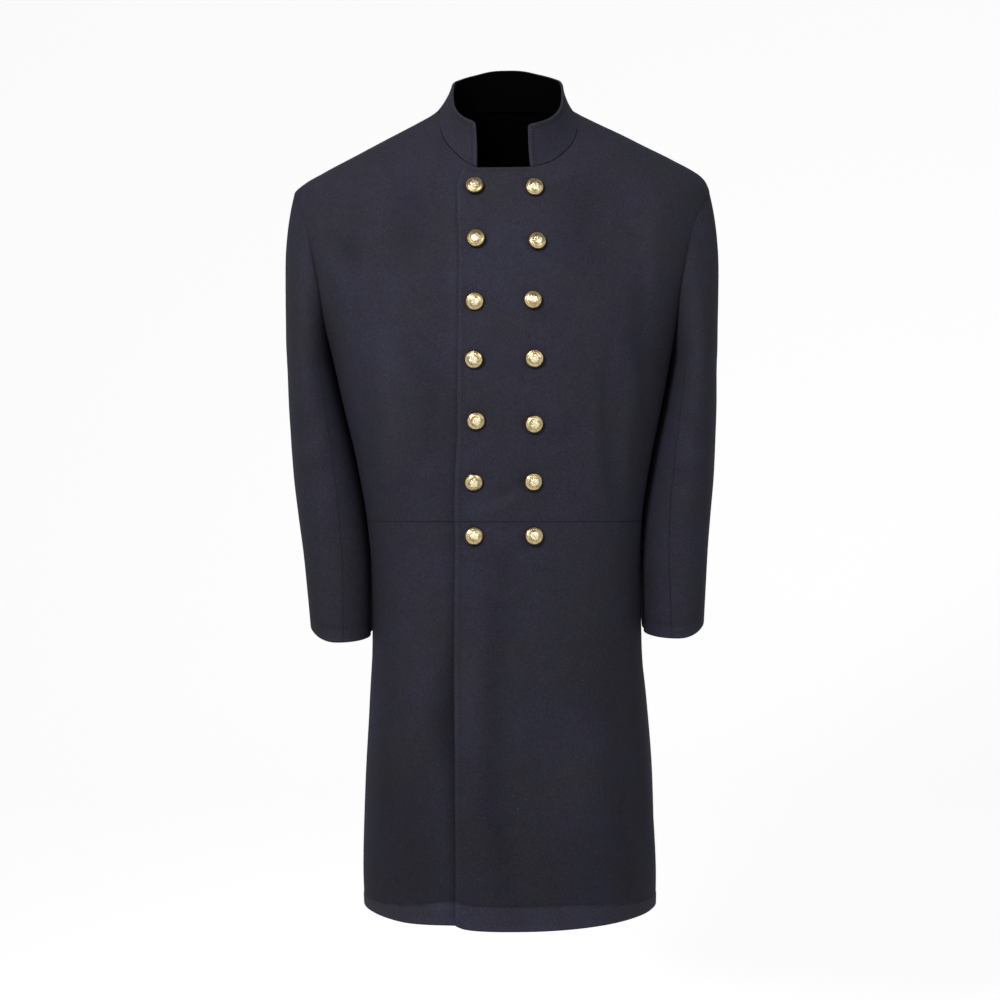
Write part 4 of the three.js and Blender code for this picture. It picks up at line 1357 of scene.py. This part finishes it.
def back_lining():
    us, vs = spread(BACK_SIZE["width"], pitch=7)[2:-2], spread(BACK_SIZE["upper"], pitch=8)
    arc_from_middle, z = blend_patch(*upper_back(SEAM_GAP / 2, SEAM_GAP / 2), us, vs)
    z = z + 3 * (1 - ease(vs, 0, 0.02))[:, None]
    halves = []
    for side in (1, -1):
        arc = half_girth(z) - arc_from_middle
        lift = body_relief(arc, z, side) * ease(arc_from_middle, *CLEAR_OF_MIDDLE)
        base, normal = surface(arc, z, side), outwards(arc, z, side)
        depth = (lift - WALL - LINING_GAP)[..., None]
        grids = (base + normal * depth, base + normal * (depth - LINING_WALL))
        halves.append([grid[:, ::-1] for grid in grids] if side > 0 else list(grids))
    outer, inner = (np.concatenate(pair, 1) for pair in zip(*halves))
    piece = wall_mesh("back_lining_cloth", outer, inner, lining, False)
    return piece


pieces["collar_lining"] = collar_lining()
pieces["back_lining"] = back_lining()
print("lining faces:", len(pieces["back_lining"].data.polygons))

# %% [markdown]
# ## Buttons
#
# Each button is a thin brass shell, stamped into a dome and closed over a back plate with a wire shank.
# Its face has a common stamped pattern: a rope border, a ring of beads and a ring of uneven leaves.
# It is modelled as height over a fine round grid, because relief this small only looks like stamped metal
# when its facets really catch the light.

# %% The button's profile and relief
BUTTON = {"radius": 11.0, "dome": 5.2, "rim": 1.6, "edge": 0.75, "shank": 3.2, "shank_radius": 1.7}
AXIS = 0.02
SHANK_FOOT = -0.3
SPOKES, RINGS = 120, 44
ROPE = {"radius": 9.6, "half_width": 0.75, "height": 0.3, "turns": 46}
BEADS = {"radius": 7.7, "half_width": 0.55, "height": 0.28, "count": 30}
# Each leaf is (its angle in degrees, start, length, half width, height).
LEAVES = [
    (28, 0.6, 4.6, 1.9, 0.62), (74, 0.9, 5.3, 1.7, 0.5), (118, 0.4, 4.9, 2.1, 0.7),
    (171, 1.0, 4.2, 1.6, 0.48), (214, 0.5, 5.4, 2.0, 0.66), (262, 0.8, 4.4, 1.8, 0.55),
    (301, 0.3, 5.2, 2.2, 0.72), (345, 1.1, 4.5, 1.5, 0.45),
]
BOSS = {"radius": 1.7, "height": 0.75}
FACE_HEIGHT = 0.75
FACE_GROUND = 0.22


def leaf(r, angle, at, start, length, width, height):
    """One pointed leaf with a rib, lying outwards from the middle of the face."""
    turned_by = angle - math.radians(at)
    along = (r * np.cos(turned_by) - start) / length
    off = r * np.sin(turned_by) - 0.35 * width * np.sin(np.pi * np.clip(along, 0, 1))
    half = width * np.sin(np.pi * np.clip(along, 0, 1) ** 0.8) ** 0.7
    inside = 1 - ease(np.abs(off), half * 0.75, half + 0.05)
    rib = 1 - 0.35 * bell(off, 0.16)
    return height * inside * rib * ease(along, 0, 0.1) * (1 - ease(along, 0.92, 1.0))


def stamped(r, angle):
    """The relief of a button's face in millimetres."""
    twist = np.abs(np.sin(0.5 * ROPE["turns"] * angle + 1.5 * (r - ROPE["radius"])))
    rope = ROPE["height"] * bell(r - ROPE["radius"], ROPE["half_width"]) * (0.35 + 0.65 * twist)
    bead = 0.5 + 0.5 * np.cos(BEADS["count"] * angle)
    beads = BEADS["height"] * bell(r - BEADS["radius"], BEADS["half_width"]) * bead
    lift = BOSS["height"] * (1 - ease(r, BOSS["radius"] - 0.5, BOSS["radius"]))
    for row in LEAVES:
        lift = np.maximum(lift, leaf(r, angle, *row))
    return rope + beads + lift


def lathe(profile, spokes):
    """Rings of points round the Z axis for rows of (radius, height, share of the relief), and their tone."""
    angle = np.linspace(0, 2 * np.pi, spokes, endpoint=False)
    r, z, raised = (np.array(values)[:, None] for values in zip(*profile))
    relief = raised * stamped(np.broadcast_to(r, (len(profile), spokes)), angle[None, :])
    tone = FACE_GROUND * raised + (1 - FACE_GROUND) * relief / FACE_HEIGHT
    return np.stack([r * np.cos(angle), r * np.sin(angle), z + relief], -1), np.clip(tone, 0, 1)


def button_profile():
    """From the middle of the face, over the edge, to the middle of the back plate."""
    radius, floor, edge = BUTTON["radius"], BUTTON["shank"], BUTTON["edge"]
    face_edge = radius - edge
    rows = []
    for t in np.linspace(0.0, 1, RINGS):
        r = max(AXIS, face_edge * t)
        dome = BUTTON["dome"] * math.sqrt(max(0.0, 1 - (r / (radius * 0.985)) ** 2))
        rows.append((r, floor + BUTTON["rim"] + dome, ease(face_edge - r, 0, 0.5)))
    edge_low = rows[-1][1]
    for turn in np.linspace(0.1, 1, 8) * math.pi:
        height = mix(edge_low, floor + 0.2, (1 - math.cos(turn)) / 2)
        rows.append((face_edge + edge * math.sin(turn), height, 0.0))
    shank = BUTTON["shank_radius"]
    back = ((radius * 0.8, floor), (shank, floor - 0.1), (shank, SHANK_FOOT), (AXIS, SHANK_FOOT))
    return rows + [(r, z, 0.0) for r, z in back]


# %% Set each button on the cloth
def button_place(x, z):
    arc = arc_at_x(x - float(lean(z)), z)
    point, normal = surface(arc, z, 1), outwards(arc, z, 1)
    relief = body_relief if z > WAIST else skirt_relief
    return point + normal * float(relief(np.array([[arc]]), np.array([[z]]), 1)[0, 0]), normal


def make_button(name, x, z, amount, towards, turn):
    grid, tone = lathe(button_profile(), SPOKES)
    faces = ring_faces(len(grid), SPOKES) + ring_caps(len(grid), SPOKES)
    foot, normal = button_place(x, z)
    away = math.radians(towards)
    tipped = Vector(normal) + math.tan(math.radians(amount)) * Vector((math.cos(away), 0, -math.sin(away)))
    axis = tipped.normalized()
    across = axis.orthogonal().normalized()
    up = axis.cross(across)
    spin = math.radians(turn)
    frame_x = np.array(across * math.cos(spin) + up * math.sin(spin))
    frame_y = np.cross(np.array(axis), frame_x)
    points = grid.reshape(-1, 3)
    placed = foot + points[:, :1] * frame_x + points[:, 1:2] * frame_y + points[:, 2:] * np.array(axis)
    return make_mesh(name + "_brass", placed, faces, brass, tone)


for name, x, z, amount, towards, turn in BUTTONS:
    pieces[name] = make_button(name, x, z, amount, towards, turn)
print("button faces:", len(pieces["button_edge_1"].data.polygons))

# %% [markdown]
# ## Stitches
#
# Topstitching holds the turned edges flat. Each stitch is a short grain of thread that dips into the dent
# beside it, set along the lines kept while the panels were made. They are joined into one mesh for each
# row of sewing, because hundreds of separate objects would be slow to handle.

# %% Sew along the kept lines
STITCH = {
    "front_edge": {"length": 2.7, "gap": 0.8, "radius": 0.27},
    "collar": {"length": 2.5, "gap": 0.8, "radius": 0.25},
    "hem": {"length": 1.1, "gap": 4.6, "radius": 0.2},
}
# Each ring of a stitch is (its place along the stitch, its share of the radius, its height).
GRAIN = ((-0.5, 0.05, -0.3), (-0.36, 0.8, 0.0), (0.0, 1.0, 0.14), (0.36, 0.8, 0.0), (0.5, 0.05, -0.3))
GRAIN_SIDES = 6
GRAIN_FACES = GRAIN_SIDES * (len(GRAIN) - 1) + 2


def sewn(group):
    size = STITCH[group]
    points, faces = [], []
    for path, out in stitch_paths[group]:
        length = np.r_[0, np.cumsum(np.linalg.norm(np.diff(path, axis=0), axis=1))]
        pace = size["length"] + size["gap"]
        middles = np.arange(pace / 2, length[-1] - size["length"] / 2, pace)
        for middle in middles:
            at = [middle + share * size["length"] for share, _, _ in GRAIN]
            centre = np.stack([np.interp(at, length, path[:, k]) for k in range(3)], -1)
            normal = unit(np.array([np.interp(middle, length, out[:, k]) for k in range(3)]))
            along = unit(centre[-1] - centre[0])
            side_way = np.cross(along, normal)
            start = len(points)
            for k, (_, girth, lift) in enumerate(GRAIN):
                for j in range(GRAIN_SIDES):
                    angle = 2 * math.pi * j / GRAIN_SIDES
                    ring = math.cos(angle) * side_way + math.sin(angle) * normal
                    points.append(centre[k] + normal * lift + ring * girth * size["radius"])
            faces += ring_faces(len(GRAIN), GRAIN_SIDES, start) + ring_caps(len(GRAIN), GRAIN_SIDES, start)
    return make_mesh(group + "_stitches", points, faces, thread)


sewing = [sewn(group) for group in STITCH]
print("stitches:", sum(len(piece.data.polygons) for piece in sewing) // GRAIN_FACES)

# %% [markdown]
# ## Wool
#
# The cloth is a milled navy wool: the weave is hidden under a short, brushed nap. It looks almost black
# face on and a little paler where it turns away, because the nap catches light, which is what sheen is
# for. Its colour wanders between blue and grey over a hand's width, and a few pale specks of lint sit on
# it. All of it is procedural, in the object's own space, so no picture of cloth is needed.


# %% Small helpers for materials
def node(material, kind, **values):
    made = material.node_tree.nodes.new(kind)
    for key, value in values.items():
        if key in made.inputs.keys():
            made.inputs[key].default_value = value
        else:
            setattr(made, key, value)
    return made


def wire(material, source, target):
    material.node_tree.links.new(source, target)


def ramp(material, source, stops):
    made = node(material, "ShaderNodeValToRGB")
    elements = made.color_ramp.elements
    for k, (place, value) in enumerate(stops):
        element = elements[k] if k < 2 else elements.new(place)
        element.position = place
        element.color = (*value, 1) if isinstance(value, tuple) else (value, value, value, 1)
    wire(material, source, made.inputs["Fac"])
    return made


def mixed(material, how, factor, first, second):
    """A colour mix. Each input may be a socket, a number or a colour."""
    made = node(material, "ShaderNodeMix", data_type="RGBA", blend_type=how)
    sockets = [made.inputs[0], made.inputs[6], made.inputs[7]]
    for socket, value in zip(sockets, (factor, first, second)):
        if isinstance(value, bpy.types.NodeSocket):
            wire(material, value, socket)
        elif isinstance(value, tuple):
            socket.default_value = (*value, 1)
        else:
            socket.default_value = value
    return made.outputs[2]


def noise(material, place, scale, detail=4.0, roughness=0.6):
    made = node(material, "ShaderNodeTexNoise", Scale=scale, Detail=detail, Roughness=roughness)
    wire(material, place, made.inputs["Vector"])
    return made.outputs["Fac"]


def own_space(material):
    return node(material, "ShaderNodeTexCoord").outputs["Object"]


def stored_tone(material):
    return node(material, "ShaderNodeAttribute", attribute_name="tone").outputs["Fac"]


def set_shader(material, **values):
    """Plain values for the material's shader, with _ for each space in an input's name."""
    shader = material.node_tree.nodes["Principled BSDF"]
    for key, value in values.items():
        shader.inputs[key.replace("_", " ")].default_value = value
    return shader


# %% The wool itself
WOOL_BLUE = (0.0275, 0.0268, 0.0425)
WOOL_GREY = (0.0262, 0.0255, 0.0335)
LINT = (0.16, 0.155, 0.17)
# Each layer is (scale, detail, roughness, its darkest and its palest): patches, tufts and single fibres.
WOOL_LAYERS = ((55, 5, 0.6, (0.3, 0.94), (0.7, 1.06)), (420, 4, 0.65, (0.32, 0.84), (0.68, 1.18)),
               (1100, 6, 0.75, (0.32, 0.6), (0.68, 1.46)))


def finish_wool(material):
    place = own_space(material)
    clouds = ramp(material, noise(material, place, 13, 3), ((0.35, 0.0), (0.65, 1.0)))
    colour = mixed(material, "MIX", clouds.outputs["Color"], WOOL_BLUE, WOOL_GREY)
    for scale, detail, roughness, *stops in WOOL_LAYERS:
        layer = ramp(material, noise(material, place, scale, detail, roughness), stops)
        colour = mixed(material, "MULTIPLY", 1.0, colour, layer.outputs["Color"])
    # the stored tone paints shade and light into the wool's colour: seams, edges, creases, hem, cuff, lap and
    # armpit
    toned = node(material, "ShaderNodeMath", operation="MULTIPLY")
    toned.inputs[1].default_value = 1 / PLAIN_TONE
    wire(material, stored_tone(material), toned.inputs[0])
    colour = mixed(material, "MULTIPLY", 1.0, colour, toned.outputs[0])
    specks = node(material, "ShaderNodeTexVoronoi", Scale=95.0)
    wire(material, place, specks.inputs["Vector"])
    dot = ramp(material, specks.outputs["Distance"], ((0.0, 1.0), (0.06, 0.0)))
    chosen = ramp(material, specks.outputs["Color"], ((0.62, 0.0), (0.66, 1.0)))
    lint = mixed(material, "MULTIPLY", 1.0, dot.outputs["Color"], chosen.outputs["Color"])
    colour = mixed(material, "MIX", lint, colour, LINT)
    shader = set_shader(
        material, Roughness=0.95, Specular_IOR_Level=0.06, Sheen_Weight=0.015, Sheen_Roughness=0.55,
        Sheen_Tint=(0.62, 0.62, 0.72, 1),
    )
    wire(material, colour, shader.inputs["Base Color"])
    nap = noise(material, place, 1500, 5, 0.7)
    curl = noise(material, place, 380, 4)
    height = mixed(material, "MIX", 0.4, nap, curl)
    bump = node(material, "ShaderNodeBump", Strength=0.55, Distance=0.0007)
    wire(material, height, bump.inputs["Height"])
    wire(material, bump.outputs["Normal"], shader.inputs["Normal"])


finish_wool(wool)

# %% [markdown]
# ## Lining, thread and brass
#
# The lining is a black that gives back almost no light. The thread is a shade off the wool. The brass is
# bright on whatever stands proud and browner where a cloth never reaches it, which the difference between
# a point and its surroundings, called pointiness, would give too; here the relief's own height is stored
# on each button.


# %% The three small finishes
LINING_TONES = ((0.3, 0.0003), (0.7, 0.0007))
THREAD_TONES = ((0.3, (0.012, 0.012, 0.018)), (0.7, (0.024, 0.023, 0.034)))
BRASS_TONES = ((0.0, (0.13, 0.08, 0.03)), (0.22, (0.45, 0.33, 0.15)), (0.75, (0.93, 0.84, 0.58)))


def finish_lining(material):
    shader = set_shader(material, Roughness=0.9, Specular_IOR_Level=0.02)
    weave = ramp(material, noise(material, own_space(material), 700, 3), LINING_TONES)
    wire(material, weave.outputs["Color"], shader.inputs["Base Color"])


def finish_thread(material):
    shader = set_shader(material, Roughness=0.7, Sheen_Weight=0.1)
    twist = ramp(material, noise(material, own_space(material), 2200, 2), THREAD_TONES)
    wire(material, twist.outputs["Color"], shader.inputs["Base Color"])


def finish_brass(material):
    shader = set_shader(material, Metallic=1.0)
    place = own_space(material)
    handled = ramp(material, stored_tone(material), BRASS_TONES)
    spots = ramp(material, noise(material, place, 300, 3), ((0.38, 0.62), (0.62, 1.1)))
    colour = mixed(material, "MULTIPLY", 1.0, handled.outputs["Color"], spots.outputs["Color"])
    wire(material, colour, shader.inputs["Base Color"])
    rubbed = ramp(material, noise(material, place, 900, 4), ((0.3, 0.16), (0.7, 0.36)))
    wire(material, rubbed.outputs["Color"], shader.inputs["Roughness"])


finish_lining(lining)
finish_thread(thread)
finish_brass(brass)
print("materials:", [material.name for material in bpy.data.materials][:6])

# %% [markdown]
# ## Ride and replace
#
# Each fine piece stands for one node of the imported model and rides on its only body.

# %% Hand the pieces over
for name, piece in pieces.items():
    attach(piece, "root")
    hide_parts(name)
    if name.startswith("button"):
        continue
for piece in sewing:
    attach(piece, "root")

# %% [markdown]
# ## Studio
#
# A garment is photographed in a tent of white: a pale floor that turns up smoothly on all sides and soft
# light from everywhere. A stronger light at the upper left, with its beam narrowed, gives the front its
# form, two soft ones fill in from the sides, and one behind does the same for the back. The camera stands
# level, opposite the waist, far enough away that the coat is not distorted.

# %% Floor and cove
FLOOR_Z = -1.42
COVE = {"flat": 3.6, "turn": 1.3, "top": 2.6, "glow": 0.605, "steps": 12, "spokes": 96}
COVE_MIDDLE = 0.0002


def make_cove():
    profile = [(COVE_MIDDLE, FLOOR_Z), (COVE["flat"], FLOOR_Z)]
    for k in range(1, COVE["steps"] + 1):
        angle = math.pi / 2 * k / COVE["steps"]
        across = COVE["flat"] + COVE["turn"] * math.sin(angle)
        profile.append((across, FLOOR_Z + COVE["turn"] * (1 - math.cos(angle))))
    profile.append((COVE["flat"] + COVE["turn"], COVE["top"]))
    points = []
    for r, z in profile:
        for k in range(COVE["spokes"]):
            angle = 2 * math.pi * k / COVE["spokes"]
            points.append((r * math.cos(angle) / MM, r * math.sin(angle) / MM, z / MM))
    faces = [face[::-1] for face in ring_faces(len(profile), COVE["spokes"])]
    return make_mesh("studio_cove", points, faces, pale)


pale = named_material("pale_paper")
set_shader(
    pale, Base_Color=(0.93, 0.93, 0.93, 1), Roughness=0.9, Specular_IOR_Level=0.1,
    Emission_Color=(1, 1, 1, 1), Emission_Strength=COVE["glow"],
)
cove = make_cove()
cove.visible_diffuse = False


# %% Lights, as (name, place, aim, size, power, spread of the beam in degrees)
LIGHTS = [
    ("key", (-0.8, -1.75, 0.5), (0.0, 0.0, -0.2), 0.4, 6.8, 92),
    ("left_soft", (-1.2, -1.6, 0.3), (0.0, 0.0, -0.3), 0.8, 0.5, 100),
    ("right_soft", (1.1, -1.7, 0.2), (0.0, 0.0, -0.25), 0.8, 1.9, 100),
    ("behind", (0.0, 2.1, 0.5), (0.0, 0.0, -0.3), 1.0, 6.0, 100),
]
for name, place, aim, size, power, spread_angle in LIGHTS:
    data = bpy.data.lights.new(name, "AREA")
    data.size = size
    data.energy = power
    data.spread = math.radians(spread_angle)
    lamp = bpy.data.objects.new(name, data)
    lamp.location = place
    lamp.rotation_euler = (Vector(aim) - Vector(place)).to_track_quat("-Z", "Y").to_euler()
    lamp.visible_camera = False
    bpy.context.scene.collection.objects.link(lamp)

world = bpy.data.worlds.new("soft_room")
bpy.context.scene.world = world
world.use_nodes = True
background = world.node_tree.nodes["Background"]
background.inputs["Color"].default_value = (1, 1, 1, 1)
background.inputs["Strength"].default_value = 0.36
bpy.context.scene.view_settings.view_transform = "Standard"

# %% Camera
CAMERA = {"lens": 69.12, "sensor": 36.0, "place": (-0.00625, -2.4, -0.472)}
camera_data = bpy.data.cameras.new("camera")
camera_data.lens = CAMERA["lens"]
camera_data.sensor_width = CAMERA["sensor"]
camera = bpy.data.objects.new("camera", camera_data)
camera.location = CAMERA["place"]
camera.rotation_euler = (math.radians(90), 0, 0)
bpy.context.scene.collection.objects.link(camera)
bpy.context.scene.camera = camera
print("camera stands", -camera.location.y, "m in front of the coat")
